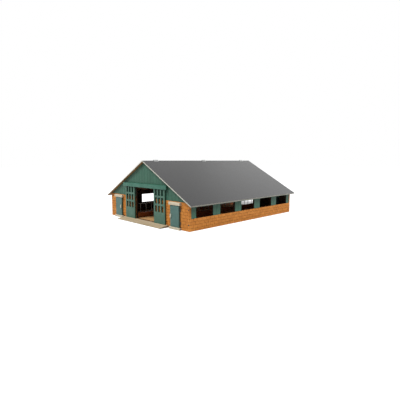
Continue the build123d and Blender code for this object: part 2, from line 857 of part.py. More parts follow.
for side_name, side in SIDES.items():
    with BuildPart() as kick_board:
        with BuildSketch(Plane.XY.offset(floor_thickness)):
            with Locations((side * fence_middle, 0)):
                Rectangle(kick_board_thickness, 2 * inner_half_length)
        extrude(amount=kick_board_height)
        with BuildSketch(Plane.XY.offset(kick_board_top)):
            with Locations(*[(side * fence_middle, y) for y in post_stations]):
                Circle(fence_post_radius + post_clearance)
        extrude(amount=-(fence_post_seat + post_clearance), mode=Mode.SUBTRACT)
        for seat in kick_screw_seats(side):
            add(trim_screw(seat, screw_clearance), mode=Mode.SUBTRACT)
    kick_board.part.label = f"{side_name}_kick_board"
    export_step(kick_board.part, f"parts/{side_name}_kick_board.step")

    with BuildPart() as fence_posts:
        with BuildSketch(Plane.XY.offset(kick_board_top - fence_post_seat)):
            with Locations(*[(side * fence_middle, y) for y in post_stations]):
                Circle(fence_post_radius)
        extrude(amount=fence_post_seat + rail_bottom + fence_post_top_seat - kick_board_top)
    fence_posts.part.label = f"{side_name}_fence_posts"
    export_step(fence_posts.part, f"parts/{side_name}_fence_posts.step")

    with BuildPart() as fence_rail:
        with BuildSketch(Plane.XY.offset(rail_bottom)):
            with Locations((side * fence_middle, 0)):
                Rectangle(fence_rail_width, 2 * (fence_reach + fence_rail_end))
        extrude(amount=fence_rail_thickness)
        with BuildSketch(Plane.XY.offset(rail_bottom)):
            with Locations(*[(side * fence_middle, y) for y in post_stations]):
                Circle(fence_post_radius + post_clearance)
        extrude(amount=fence_post_top_seat + post_clearance, mode=Mode.SUBTRACT)
    fence_rail.part.label = f"{side_name}_fence_rail"
    export_step(fence_rail.part, f"parts/{side_name}_fence_rail.step")
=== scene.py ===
import json
import logging
import math
from dataclasses import dataclass
from enum import Enum

import bmesh
import bpy
import numpy as np
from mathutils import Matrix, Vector

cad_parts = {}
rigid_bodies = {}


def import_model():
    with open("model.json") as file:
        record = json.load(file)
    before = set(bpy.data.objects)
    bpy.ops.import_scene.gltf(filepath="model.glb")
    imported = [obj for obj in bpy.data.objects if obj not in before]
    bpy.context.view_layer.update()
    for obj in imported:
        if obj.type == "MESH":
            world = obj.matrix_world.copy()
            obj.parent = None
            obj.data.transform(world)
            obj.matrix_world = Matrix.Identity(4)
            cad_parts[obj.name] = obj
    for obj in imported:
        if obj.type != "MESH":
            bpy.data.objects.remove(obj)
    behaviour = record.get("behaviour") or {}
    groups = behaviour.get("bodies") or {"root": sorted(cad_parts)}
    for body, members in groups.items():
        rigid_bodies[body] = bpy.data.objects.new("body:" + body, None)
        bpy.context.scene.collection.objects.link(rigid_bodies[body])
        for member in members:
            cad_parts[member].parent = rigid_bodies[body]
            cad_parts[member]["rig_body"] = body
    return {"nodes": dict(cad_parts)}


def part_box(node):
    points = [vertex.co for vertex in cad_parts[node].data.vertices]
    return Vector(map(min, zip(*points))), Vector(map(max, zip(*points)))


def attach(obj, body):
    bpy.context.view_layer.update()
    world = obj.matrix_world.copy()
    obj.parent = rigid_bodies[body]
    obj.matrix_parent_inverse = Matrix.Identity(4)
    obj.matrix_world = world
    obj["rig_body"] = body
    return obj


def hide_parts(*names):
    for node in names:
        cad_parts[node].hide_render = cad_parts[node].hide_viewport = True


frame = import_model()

log = logging.getLogger("barn")

MM = 0.001  # the frame is in metres, the sizes below are in millimetres
TOUCH = 0.001 * MM  # points this near to a plane lie in it
WELD = 0.002 * MM  # corners of loose triangles this near to each other are one
FACING = 0.9  # least cosine between two directions that count as the same
SLIVER = 1.0  # bricks and boards narrower than this, in millimetres, are left out
HEAD_SIDES = 24  # sides of a screw's head, and of the drill that makes room for it
BAR_SIDES = 16  # sides of a screw's shank and of a fence post
WHITE = (1.0, 1.0, 1.0, 1.0)
Triple = tuple[float, float, float]  # along X, Y and Z
Rectangle = tuple[float, float, float, float]  # left, right, bottom, top
Point = tuple[float, float]  # across, height


# ------------------------------------------------------------------ nodes


def linear(colour: str) -> tuple[float, float, float, float]:
    """Turn an sRGB hex colour into the linear colour that a node takes, by the standard curve.

    Args:
        colour: Colour such as "#4E7D6C".

    Returns:
        Linear red, green, blue and alpha.
    """
    parts = [int(colour[i : i + 2], 16) / 255 for i in (1, 3, 5)]
    return tuple(p / 12.92 if p <= 0.04045 else ((p + 0.055) / 1.055) ** 2.4 for p in parts) + (1.0,)


def add(
    tree: bpy.types.NodeTree, kind: str, settings: dict | None = None, inputs: dict | None = None
) -> bpy.types.Node:
    """Add one node with its settings and links.

    Args:
        tree: Tree that gets the node.
        kind: Blender's name for the kind of node.
        settings: Values of the node's own properties.
        inputs: Value, or socket to link from, of each input by its name or number.

    Returns:
        The new node.
    """
    made = tree.nodes.new(kind)
    for name, value in (settings or {}).items():
        setattr(made, name, value)
    for name, value in (inputs or {}).items():
        if isinstance(value, bpy.types.NodeSocket):
            tree.links.new(value, made.inputs[name])
        else:
            made.inputs[name].default_value = value
    return made


def patches(
    tree: bpy.types.NodeTree, size: Triple, low: float = 0.35, high: float = 0.65, detail: float = 3.0
) -> bpy.types.NodeSocket:
    """Lay an irregular pattern of light and dark patches over a piece.

    Args:
        tree: Material's tree.
        size: Size of a patch along X, Y and Z, in millimetres.
        low: Noise value that becomes 0.
        high: Noise value that becomes 1.
        detail: How much finer structure the patches have.

    Returns:
        Socket with values from 0 to 1.
    """
    place = add(tree, "ShaderNodeTexCoord").outputs["Object"]
    scale = tuple(1 / (length * MM) for length in size)
    scaled = add(tree, "ShaderNodeMapping", inputs={"Vector": place, "Scale": scale}).outputs["Vector"]
    noise = add(
        tree, "ShaderNodeTexNoise", inputs={"Vector": scaled, "Scale": 1.0, "Detail": detail}
    ).outputs["Fac"]
    return add(
        tree, "ShaderNodeMapRange", inputs={"Value": noise, "From Min": low, "From Max": high}
    ).outputs["Result"]


def shaded(
    tree: bpy.types.NodeTree,
    colour: bpy.types.NodeSocket,
    pattern: bpy.types.NodeSocket,
    dark: float,
    light: float,
) -> bpy.types.NodeSocket:
    """Darken and lighten a colour by a pattern.

    Args:
        tree: Material's tree.
        colour: Socket with the colour.
        pattern: Pattern from 0 to 1.
        dark: What the colour is multiplied by where the pattern is 0.
        light: What it is multiplied by where the pattern is 1.

    Returns:
        Socket with the new colour.
    """
    share = add(
        tree, "ShaderNodeMapRange", inputs={"Value": pattern, "To Min": dark, "To Max": light}
    ).outputs["Result"]
    return add(tree, "ShaderNodeVectorMath", {"operation": "SCALE"}, {0: colour, "Scale": share}).outputs[0]


def seen_by(tree: bpy.types.NodeTree, kinds: tuple[str, ...]) -> bpy.types.NodeSocket:
    """Tell rays of some kinds from all others.

    Args:
        tree: Tree of a material or of the world.
        kinds: Kinds of ray, in the names of the Light Path node.

    Returns:
        Socket that is 1 for these rays and 0 for the others.
    """
    rays = add(tree, "ShaderNodeLightPath").outputs
    seen = rays[kinds[0]]
    for kind in kinds[1:]:
        seen = add(tree, "ShaderNodeMath", {"operation": "MAXIMUM"}, {0: seen, 1: rays[kind]}).outputs[0]
    return seen


# ------------------------------------------------------------------ finishes


class Grain(Enum):
    """Axis that the grain of a board runs along."""

    X = 0
    Y = 1
    Z = 2

    def streak(self, width: float, length: float) -> Triple:
        """Size of a streak with this width across the grain and this length along it."""
        return tuple(length if axis == self.value else width for axis in range(3))


@dataclass(frozen=True)
class Look:
    """Sockets with the patterns of a finish: its colour, where it is duller and where it is raised."""

    colour: bpy.types.NodeSocket
    dullness: bpy.types.NodeSocket
    relief: bpy.types.NodeSocket


@dataclass(frozen=True)
class Finish:
    """What the finishes share: two tones, a sheen and how much their patterns change the surface."""

    name: str
    colour: str  # main tone, an sRGB hex value
    second: str  # what the tone wanders to
    roughness: float = 0.5
    metallic: float = 0.0
    specular: float = 0.5
    wander: float = 0.05  # how far the roughness goes each way
    height: float = 0.05  # height of the relief, in millimetres

    def material(self) -> bpy.types.Material:
        """Give the material, building it the first time that it is asked for.

        Returns:
            The material with its whole node tree.
        """
        known = bpy.data.materials.get(self.name)
        if known:
            return known
        made = bpy.data.materials.new(self.name)
        made.use_nodes = True
        made.diffuse_color = linear(self.colour)
        tree = made.node_tree
        tree.nodes.clear()
        sheen = {"Roughness": self.roughness, "Metallic": self.metallic, "Specular IOR Level": self.specular}
        shader = add(tree, "ShaderNodeBsdfPrincipled", inputs=sheen)
        look = self.dress(tree)
        span = {"To Min": self.roughness - self.wander, "To Max": self.roughness + self.wander}
        rough = add(tree, "ShaderNodeMapRange", inputs={"Value": look.dullness} | span).outputs["Result"]
        raised = {"Height": look.relief, "Distance": self.height * MM, "Strength": 1.0}
        bump = add(tree, "ShaderNodeBump", inputs=raised).outputs["Normal"]
        for name, socket in {"Base Color": look.colour, "Roughness": rough, "Normal": bump}.items():
            tree.links.new(socket, shader.inputs[name])
        add(tree, "ShaderNodeOutputMaterial", inputs={"Surface": shader.outputs["BSDF"]})
        return made

    def dress(self, tree: bpy.types.NodeTree) -> Look:
        """Draw the patterns of this finish.

        Args:
            tree: Material's tree.

        Returns:
            Its patterns.
        """
        raise NotImplementedError

    def toned(self, tree: bpy.types.NodeTree, factor: bpy.types.NodeSocket) -> bpy.types.NodeSocket:
        """Mix the two tones.

        Args:
            tree: Material's tree.
            factor: Pattern from 0, for the main colour, to 1, for the second.

        Returns:
            Socket with the colour.
        """
        # A Mix node takes its two colours at 6 and 7 and gives their mixture at 2
        tones = {0: factor, 6: linear(self.colour), 7: linear(self.second)}
        return add(tree, "ShaderNodeMix", {"data_type": "RGBA"}, tones).outputs[2]


@dataclass(frozen=True)
class PaintedWood(Finish):
    """Satin water-based paint, rolled on planed boards.

    The film evens the wood out: the grain shows as faint ridges and slightly darker pores, and
    the sheen comes and goes in patches where the paint is thicker. Sizes are in millimetres.
    """

    wander: float = 0.06
    grain: Grain = Grain.Z
    board_tones: bool = False  # each board carries its own tone in the attribute "tone"
    streak_width: float = 1.6
    streak_length: float = 45.0
    cloud: float = 45.0  # size of a patch of thicker paint
    pores: float = 0.86  # how dark the pores are, 1 for none
    ridges: float = 1.04  # how light the ridges between them are, 1 for none
    tone_weight: float = 0.75  # weight of the board's own tone, with 1 for the patches
    tone_scale: float = 0.57  # brings the sum of the two back to 1 at most

    def dress(self, tree: bpy.types.NodeTree) -> Look:
        """Draw cloudy tone, darker pores, a wandering sheen and grain ridges.

        Args:
            tree: Material's tree.

        Returns:
            Its patterns.
        """
        streaks = patches(tree, self.grain.streak(self.streak_width, self.streak_length), low=0.3, high=0.7)
        cloud = patches(tree, (self.cloud,) * 3)
        tone, dullness = cloud, cloud
        if self.board_tones:
            own = add(tree, "ShaderNodeAttribute", {"attribute_name": "tone"}).outputs["Fac"]
            weighed = {0: own, 1: self.tone_weight, 2: cloud}
            total = add(tree, "ShaderNodeMath", {"operation": "MULTIPLY_ADD"}, weighed).outputs[0]
            scaled = {0: total, 1: self.tone_scale}
            tone = add(tree, "ShaderNodeMath", {"operation": "MULTIPLY"}, scaled).outputs[0]
            dullness = streaks
        painted = shaded(tree, self.toned(tree, tone), streaks, self.pores, self.ridges)
        return Look(painted, dullness, streaks)


@dataclass(frozen=True)
class BareWood(Finish):
    """Planed wood with nothing but a thin matt lacquer.

    Shows early and late wood as long streaks of two tones, short dark pores between them, and
    hardly any shine. Sizes are in millimetres.
    """

    height: float = 0.06
    grain: Grain = Grain.X
    streak_width: float = 6.4
    streak_length: float = 135.0
    pore_width: float = 1.6
    pore_length: float = 11.25
    pores: float = 0.8  # how dark the pores are, 1 for none
    ridges: float = 1.03  # how light the wood between them is, 1 for none

    def dress(self, tree: bpy.types.NodeTree) -> Look:
        """Draw streaks of early and late wood with pores between them.

        Args:
            tree: Material's tree.

        Returns:
            Its patterns.
        """
        streaks = patches(tree, self.grain.streak(self.streak_width, self.streak_length), low=0.3, high=0.7)
        fine = patches(tree, self.grain.streak(self.pore_width, self.pore_length), low=0.4, high=0.6)
        stained = shaded(tree, self.toned(tree, streaks), fine, self.pores, self.ridges)
        return Look(stained, streaks, fine)


@dataclass(frozen=True)
class FibreBoard(Finish):
    """Medium density fibreboard, sawn or pressed.

    Has no grain: fine fibres make short specks, and cut edges drink the paint and stay dull.
    Sizes are in millimetres.
    """

    height: float = 0.03
    speck: float = 1.3
    cloud: float = 35.0  # size of a lighter or darker patch
    speck_share: float = 0.5  # share of the specks in the tone, the rest is the patches'

    def dress(self, tree: bpy.types.NodeTree) -> Look:
        """Draw fibre specks, cloudy tone and a dull sheen.

        Args:
            tree: Material's tree.

        Returns:
            Its patterns.
        """
        specks = patches(tree, (self.speck,) * 3, detail=2.0)
        cloud = patches(tree, (self.cloud,) * 3)
        # A Mix node takes two plain values at 2 and 3
        mixed = add(
            tree, "ShaderNodeMix", {"data_type": "FLOAT"}, {0: self.speck_share, 2: cloud, 3: specks}
        ).outputs[0]
        return Look(self.toned(tree, mixed), cloud, specks)


@dataclass(frozen=True)
class BrickPrint(Finish):
    """Milled and screen-printed brick faces.

    Each brick has its own tone between the two colours, in the attribute "tone", with a sandy
    speckle and a few darker burnt spots, and the ink dries nearly matt. Sizes are in millimetres.
    """

    wander: float = 0.07
    height: float = 0.07
    burnt: str = "#8A4A20"
    burnt_share: float = 0.5  # how far a burnt spot goes to that colour
    spot: Triple = (5.0, 5.0, 3.0)  # size of a burnt spot
    grit: float = 1.1  # size of a grain of the speckle
    grit_share: float = 0.22  # how far the speckle moves the tone

    def dress(self, tree: bpy.types.NodeTree) -> Look:
        """Draw the tone of each brick, its speckle and its burnt spots.

        Args:
            tree: Material's tree.

        Returns:
            Its patterns.
        """
        tone = add(tree, "ShaderNodeAttribute", {"attribute_name": "tone"}).outputs["Fac"]
        sand = patches(tree, (self.grit,) * 3, low=0.3, high=0.7, detail=2.0)
        spots = patches(tree, self.spot, low=0.56, high=0.74)
        blend = add(
            tree, "ShaderNodeMath", {"operation": "MULTIPLY_ADD"}, {0: sand, 1: self.grit_share, 2: tone}
        ).outputs[0]
        share = add(
            tree, "ShaderNodeMath", {"operation": "MULTIPLY"}, {0: spots, 1: self.burnt_share}
        ).outputs[0]
        tones = {0: share, 6: self.toned(tree, blend), 7: linear(self.burnt)}
        fired = add(tree, "ShaderNodeMix", {"data_type": "RGBA"}, tones).outputs[2]
        return Look(fired, sand, sand)


@dataclass(frozen=True)
class CoatedSteel(Finish):
    """Pressed or turned steel under a thin coat of zinc, bronzing, blacking or enamel.

    The coat blurs the reflections unevenly, with fine marks from the press.
    """

    wander: float = 0.08
    height: float = 0.01
    crystal: float = 0.9  # size of a crystal of the coat in millimetres, drawn coarse enough to show

    def dress(self, tree: bpy.types.NodeTree) -> Look:
        """Draw the uneven coat.

        Args:
            tree: Material's tree.

        Returns:
            Its patterns.
        """
        crystals = patches(tree, (self.crystal,) * 3, low=0.3, high=0.7, detail=4.0)
        return Look(self.toned(tree, crystals), crystals, crystals)


@dataclass(frozen=True)
class Finishes:
    """Every finish of the barn."""

    # Screen-printed brick on fibreboard: warm orange-brown, sandy, nearly matt
    brick: BrickPrint = BrickPrint("brick print on fibreboard", "#CD8740", "#BC7836", 0.62, specular=0.2)
    # The milled joints between the bricks, filled with thin brown ink
    joint: FibreBoard = FibreBoard("brown ink in milled joints", "#5E3516", "#6C3F1C", 0.8, specular=0.2)
    # Pine green paint on the milled boards of the walls: satin, each board a little different
    boards: PaintedWood = PaintedWood(
        "green paint on milled boards", "#38604F", "#315646", 0.5, specular=0.3, board_tones=True
    )
    # The same paint lying thick and dark in the grooves
    groove: FibreBoard = FibreBoard("green paint in milled grooves", "#1F3A32", "#27463D", 0.6, specular=0.3)
    # Sawn fibreboard edges that face into the doorways and windows: dull, with the fibreboard's brown
    # darkened to paint the shade that lies in the openings
    edge: FibreBoard = FibreBoard("sawn fibreboard edges", "#36231A", "#2D1C14", 0.8, specular=0.2)
    # The unprinted backs of the wall boards: dull brown fibreboard, darkened
    # to paint the shade inside the barn
    back: FibreBoard = FibreBoard("brown fibreboard backs", "#4C3A26", "#41301E", 0.75, specular=0.25)
    # Header rails: lighter sea green satin paint
    header: PaintedWood = PaintedWood(
        "sea green paint on planed rail", "#3A6D5C", "#336252", 0.45, specular=0.3, grain=Grain.X
    )
    # Doors: grey green satin paint
    door: PaintedWood = PaintedWood(
        "grey green paint on door board", "#486C5C", "#406253", 0.45, specular=0.3
    )
    # Small doors: the same paint with a little more blue and white in it
    small_door: PaintedWood = PaintedWood(
        "blue green paint on small door", "#50716B", "#496862", 0.45, specular=0.3
    )
    # Roof boards: near-black grey paint with a silky shine, hardly any grain
    roof: FibreBoard = FibreBoard(
        "slate grey paint on roof board", "#1B1B1C", "#191919", 0.24, wander=0.012, height=0.003
    )
    # Pale primed edges of the roof boards: chalky off-white
    verge: FibreBoard = FibreBoard("primed edge of roof board", "#CAC9BE", "#B9B7AA", 0.6, specular=0.3)
    # Their long edges, where grey paint ran over the primer
    eave: FibreBoard = FibreBoard(
        "thinly painted edge of roof board", "#8A8880", "#78756C", 0.6, specular=0.3
    )
    # Undersides of the roof boards: bare hardboard, tan brown and matt
    soffit: FibreBoard = FibreBoard("brown hardboard underside", "#A0754A", "#8F6640", 0.7, specular=0.3)
    # Floor: oiled fibreboard, light tan with a dull sheen
    floor: FibreBoard = FibreBoard("tan fibreboard floor", "#B58E61", "#A57E52", 0.6, specular=0.3)
    # Ramps: limed wood, greyish, with the grain along the gable
    ramp: BareWood = BareWood("limed wood ramp", "#B2A188", "#A18F71", 0.68, specular=0.3, pores=0.88)
    # Lintels and steps: the palest limed wood
    pale: BareWood = BareWood("pale limed wood trim", "#D0C6B0", "#C1B59D", 0.66, specular=0.3, pores=0.9)
    # Ridge beam and dowels: bare pine, warm yellow with plain streaks
    pine: BareWood = BareWood("bare pine", "#B58F5E", "#9C7646", 0.6, grain=Grain.Y)
    # Kick boards along the feed passage: orange brown satin paint
    kick: PaintedWood = PaintedWood(
        "orange brown paint on kick board", "#A4571F", "#944C1A", 0.45, grain=Grain.Y
    )
    # Handles: cream paint, smooth and a little brighter than the doors
    cream: PaintedWood = PaintedWood("cream paint on turned wood", "#C9CBBB", "#BCBDAC", 0.42)
    # Feed fences: stove enamel on steel wire and flat bar, an even pale grey
    fence: CoatedSteel = CoatedSteel("grey enamel on steel bars", "#8F9191", "#818484", 0.42)
    # Hinges: bronzed steel, dark brown grey with a dull shine
    hinge: CoatedSteel = CoatedSteel("bronzed hinge steel", "#5E5A54", "#4E4A44", 0.42, metallic=1.0)
    # Ridge hinges: bright zinc plate, pale with soft reflections
    ridge_hinge: CoatedSteel = CoatedSteel(
        "zinc plated ridge hinge steel", "#D6D7D6", "#C4C5C4", 0.34, metallic=1.0
    )
    # Screws: blackened steel, dark with a dull shine
    screw: CoatedSteel = CoatedSteel("blackened screw steel", "#4A4744", "#3D3A37", 0.45, metallic=1.0)


# ------------------------------------------------------------------ meshes


def merged(node: str, flatten: bool = True) -> bmesh.types.BMesh:
    """Copy a CAD node's mesh with its loose triangles joined.

    Args:
        node: Name of the CAD node.
        flatten: Whether triangles in one plane become one face.

    Returns:
        The copy, whose faces still point outwards.
    """
    mesh = bmesh.new()
    mesh.from_mesh(frame["nodes"][node].data)
    bmesh.ops.remove_doubles(mesh, verts=mesh.verts, dist=WELD)
    if flatten:
        one_degree = math.radians(1)
        bmesh.ops.dissolve_limit(mesh, angle_limit=one_degree, verts=mesh.verts, edges=mesh.edges)
    return mesh


def placed(
    name: str,
    mesh: bpy.types.Mesh,
    materials: list[bpy.types.Material],
    body: str,
    nodes: list[str],
) -> bpy.types.Object:
    """Put a finished mesh into the scene as a piece of the barn.

    Args:
        name: Name of the piece.
        mesh: Its mesh, in the barn's place.
        materials: Materials for its slots, or none to keep those of the mesh.
        body: Body that it rides on.
        nodes: CAD nodes that it stands for.

    Returns:
        The new object.
    """
    mesh.name = name
    if materials:
        zones = np.zeros(len(mesh.polygons), dtype=np.int32)
        mesh.polygons.foreach_get("material_index", zones)
        mesh.materials.clear()
        for material in materials:
            mesh.materials.append(material)
        mesh.polygons.foreach_set("material_index", zones)
    piece = bpy.data.objects.new(name, mesh)
    bpy.context.scene.collection.objects.link(piece)
    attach(piece, body)
    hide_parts(*nodes)
    log.info("%s: %d faces on %s", name, len(mesh.polygons), body)
    return piece


def plain(mesh: bmesh.types.BMesh) -> bpy.types.Mesh:
    """Turn an edit mesh into a plain one with flat faces.

    Args:
        mesh: The edit mesh, which is freed.

    Returns:
        The plain mesh.
    """
    made = bpy.data.meshes.new("mesh")
    mesh.to_mesh(made)
    mesh.free()
    if "custom_normal" in made.attributes:
        made.attributes.remove(made.attributes["custom_normal"])
    made.polygons.foreach_set("use_smooth", [False] * len(made.polygons))
    return made


def round_shading(mesh: bpy.types.Mesh, angle: float = 32.0) -> None:
    """Shade a mesh smooth, but for edges sharper than an angle in degrees."""
    mesh.polygons.foreach_set("use_smooth", [True] * len(mesh.polygons))
    mesh.set_sharp_from_angle(angle=math.radians(angle))


def finished(carrier: bpy.types.Object) -> bpy.types.Mesh:
    """Keep what an object's modifiers make as a plain mesh, and remove the object.

    Args:
        carrier: The object, linked to the scene.

    Returns:
        The plain mesh.
    """
    bpy.context.view_layer.update()
    graph = bpy.context.evaluated_depsgraph_get()
    made = bpy.data.meshes.new_from_object(
        carrier.evaluated_get(graph), preserve_all_data_layers=True, depsgraph=graph
    )
    bpy.data.objects.remove(carrier)
    return made


def grown(name: str, points: bpy.types.Mesh, tree: bpy.types.NodeTree, values: dict) -> bpy.types.Mesh:
    """Run a Geometry Nodes tree on a mesh and keep the result as a plain mesh.

    Args:
        name: Name of the modifier.
        points: Mesh that the tree starts from.
        tree: The tree.
        values: Value of each of its named inputs.

    Returns:
        The mesh that the tree made.
    """
    carrier = bpy.data.objects.new(name + "_carrier", points)
    bpy.context.scene.collection.objects.link(carrier)
    modifier = carrier.modifiers.new(name, "NODES")
    modifier.node_group = tree
    for item in tree.interface.items_tree:
        if item.in_out == "INPUT" and item.name in values:
            modifier[item.identifier] = values[item.name]
    return finished(carrier)


@dataclass
class Seat:
    """Where one screw sits: the middle of its head's face, the way that it faces and its sizes in metres."""

    middle: Vector
    facing: Vector
    radius: float
    length: float

    @classmethod
    def read(cls, spots: np.ndarray, near: float = 0.02) -> "Seat":
        """Find the seat of one screw from the points of its solid.

        Args:
            spots: Points of the screw's solid, one in each row.
            near: Points this near to an end of the screw lie in it, in millimetres.

        Returns:
            The seat.
        """
        around = spots - spots.mean(0)
        axis = np.linalg.svd(around, full_matrices=False)[2][0]
        along = around @ axis
        off = np.linalg.norm(around - np.outer(along, axis), axis=1)
        ends = [along > along.max() - near * MM, along < along.min() + near * MM]
        head = max(ends, key=lambda chosen: off[chosen].max())
        facing = axis if along[head].mean() > 0 else -axis
        middle = spots[head].mean(0)
        radius = np.linalg.norm(spots[head] - middle, axis=1).max()
        return cls(Vector(middle), Vector(facing), float(radius), float(np.ptp(along)))


def screw_seats(node: str) -> list[Seat]:
    """Read the place of each screw from the solids of a CAD node.

    Args:
        node: Name of a node that holds nothing but screws.

    Returns:
        One seat for each screw.
    """
    mesh = merged(node)
    seats, seen = [], set()
    for start in mesh.verts:
        if start in seen:
            continue
        seen.add(start)
        solid = [start]
        for vertex in solid:
            for edge in vertex.link_edges:
                other = edge.other_vert(vertex)
                if other not in seen:
                    seen.add(other)
                    solid.append(other)
        seats.append(Seat.read(np.array([vertex.co for vertex in solid])))
    mesh.free()
    return seats


def bored(mesh: bpy.types.Mesh, seats: list[Seat], room: float = 0.05, depth: float = 6.0) -> bpy.types.Mesh:
    """Drill the places of screw heads out of a mesh.

    Args:
        mesh: Mesh to drill.
        seats: Screws whose heads lie in the mesh, or none to leave it whole.
        room: Gap around each head, in millimetres.
        depth: Length of the drill, half of it on each side of the head's face, in millimetres.

    Returns:
        The drilled mesh.
    """
    if not seats:
        return mesh
    drill = bmesh.new()
    for seat in seats:
        turn = seat.facing.to_track_quat("Z", "Y").to_matrix().to_4x4()
        turn.translation = seat.middle
        radius = seat.radius + room * MM
        bmesh.ops.create_cone(
            drill, cap_ends=True, segments=HEAD_SIDES, radius1=radius, radius2=radius,
            depth=depth * MM, matrix=turn,
        )
    cutter = bpy.data.objects.new("cutter", plain(drill))
    work = bpy.data.objects.new("work", mesh)
    for each in (cutter, work):
        bpy.context.scene.collection.objects.link(each)
    modifier = work.modifiers.new("holes", "BOOLEAN")
    modifier.operation = "DIFFERENCE"
    modifier.solver = "EXACT"
    modifier.object = cutter
    made = finished(work)
    bpy.data.objects.remove(cutter)
    return made


# ------------------------------------------------------------------ what repeats


class Socket(Enum):
    """Kinds of input that the trees take."""

    SIZE = "NodeSocketFloat"
    COUNT = "NodeSocketInt"
    VECTOR = "NodeSocketVector"
    FINISH = "NodeSocketMaterial"


class Tree:
    """A Geometry Nodes tree with named inputs that ends in Realize Instances and Set Material."""

    def __init__(self, name: str, inputs: dict[str, Socket]) -> None:
        """Start the tree.

        Args:
            name: Name of the tree.
            inputs: Kind of each named input, after the geometry that it starts from.
        """
        self.tree = bpy.data.node_groups.new(name, "GeometryNodeTree")
        self.tree.interface.new_socket("Geometry", in_out="INPUT", socket_type="NodeSocketGeometry")
        for title, kind in inputs.items():
            self.tree.interface.new_socket(title, in_out="INPUT", socket_type=kind.value)
        self.tree.interface.new_socket("Geometry", in_out="OUTPUT", socket_type="NodeSocketGeometry")
        self.given = add(self.tree, "NodeGroupInput").outputs

    def step(self, kind: str, settings: dict | None = None, inputs: dict | None = None) -> bpy.types.Node:
        """Add one node to the tree."""
        return add(self.tree, kind, settings, inputs)

    def end(self, geometry: bpy.types.NodeSocket) -> bpy.types.NodeTree:
        """Turn instances into real geometry, dress it in the input Finish and hand it out.

        Args:
            geometry: Socket with the finished geometry.

        Returns:
            The finished tree.
        """
        real = self.step("GeometryNodeRealizeInstances", inputs={"Geometry": geometry}).outputs[0]
        dressed = self.step(
            "GeometryNodeSetMaterial", inputs={"Geometry": real, "Material": self.given["Finish"]}
        ).outputs[0]
        self.step("NodeGroupOutput", inputs={"Geometry": dressed})
        return self.tree


def brick_tree() -> bpy.types.NodeTree:
    """Build the tree that turns points into brick faces with a chamfer and a tone of their own.

    Each point carries the size of its brick in the attribute "size". Bricks are cut off at the
    wall's sloping top edge.

    Returns:
        The tree.
    """
    made = Tree(
        "Brick faces",
        {
            "Outward": Socket.VECTOR, "Chamfer": Socket.SIZE, "Wall Height": Socket.SIZE,
            "Half Width": Socket.SIZE, "Slope": Socket.SIZE, "Seed": Socket.COUNT, "Finish": Socket.FINISH,
        },
    )
    step, given = made.step, made.given
    vectors, numbers = {"data_type": "FLOAT_VECTOR"}, {"data_type": "FLOAT"}

    # A block on each point, which keeps its middle and a random tone as attributes
    here = step("GeometryNodeInputPosition").outputs[0]
    marked = step(
        "GeometryNodeStoreNamedAttribute", vectors | {"domain": "POINT"},
        {"Geometry": given["Geometry"], "Name": "middle", "Value": here},
    ).outputs[0]
    tone = step("FunctionNodeRandomValue", numbers, {"Seed": given["Seed"]}).outputs[1]
    toned = step(
        "GeometryNodeStoreNamedAttribute", numbers | {"domain": "POINT"},
        {"Geometry": marked, "Name": "tone", "Value": tone},
    ).outputs[0]
    size = step("GeometryNodeInputNamedAttribute", vectors, {"Name": "size"}).outputs[0]
    block = step("GeometryNodeMeshCube").outputs["Mesh"]
    laid = step(
        "GeometryNodeInstanceOnPoints", inputs={"Points": toned, "Instance": block, "Scale": size}
    ).outputs[0]
    real = step("GeometryNodeRealizeInstances", inputs={"Geometry": laid}).outputs[0]

    # Its outer face, raised by the chamfer
    normal = step("GeometryNodeInputNormal").outputs[0]
    shown = step(
        "ShaderNodeVectorMath", {"operation": "DOT_PRODUCT"}, {0: normal, 1: given["Outward"]}
    ).outputs["Value"]
    more = numbers | {"operation": "GREATER_THAN"}
    front = step("FunctionNodeCompare", more, {0: shown, 1: FACING}).outputs[0]
    raised = step(
        "GeometryNodeExtrudeMesh", {"mode": "FACES"},
        {"Mesh": real, "Selection": front, "Offset Scale": given["Chamfer"], "Individual": True},
    ).outputs

    # The raised face's corners, moved towards its middle by as much
    middle = step("GeometryNodeInputNamedAttribute", vectors, {"Name": "middle"}).outputs[0]
    away = step("ShaderNodeVectorMath", {"operation": "SUBTRACT"}, {0: here, 1: middle}).outputs[0]
    signs = step("ShaderNodeVectorMath", {"operation": "SIGN"}, {0: away}).outputs[0]
    across = step("ShaderNodeVectorMath", {"operation": "ABSOLUTE"}, {0: given["Outward"]}).outputs[0]
    flat = step("ShaderNodeVectorMath", {"operation": "SUBTRACT"}, {0: (1.0, 1.0, 1.0), 1: across}).outputs[0]
    inward = step("ShaderNodeVectorMath", {"operation": "MULTIPLY"}, {0: signs, 1: flat}).outputs[0]
    back = step("ShaderNodeMath", {"operation": "MULTIPLY"}, {0: given["Chamfer"], 1: -1.0}).outputs[0]
    shift = step("ShaderNodeVectorMath", {"operation": "SCALE"}, {0: inward, "Scale": back}).outputs[0]
    corners = {"Geometry": raised["Mesh"], "Selection": raised["Top"], "Offset": shift}
    chamfered = step("GeometryNodeSetPosition", inputs=corners).outputs[0]

    # No corner above the wall's top edge
    spot = step("ShaderNodeSeparateXYZ", inputs={0: here}).outputs
    distance = step("ShaderNodeMath", {"operation": "ABSOLUTE"}, {0: spot[0]}).outputs[0]
    run = step("ShaderNodeMath", {"operation": "SUBTRACT"}, {0: given["Half Width"], 1: distance}).outputs[0]
    edge = {0: run, 1: given["Slope"], 2: given["Wall Height"]}
    line = step("ShaderNodeMath", {"operation": "MULTIPLY_ADD"}, edge).outputs[0]
    height = step("ShaderNodeMath", {"operation": "MINIMUM"}, {0: spot[2], 1: line}).outputs[0]
    lowered = step("ShaderNodeCombineXYZ", inputs={0: spot[0], 1: spot[1], 2: height}).outputs[0]
    trimmed = step("GeometryNodeSetPosition", inputs={"Geometry": chamfered, "Position": lowered}).outputs[0]
    return made.end(trimmed)


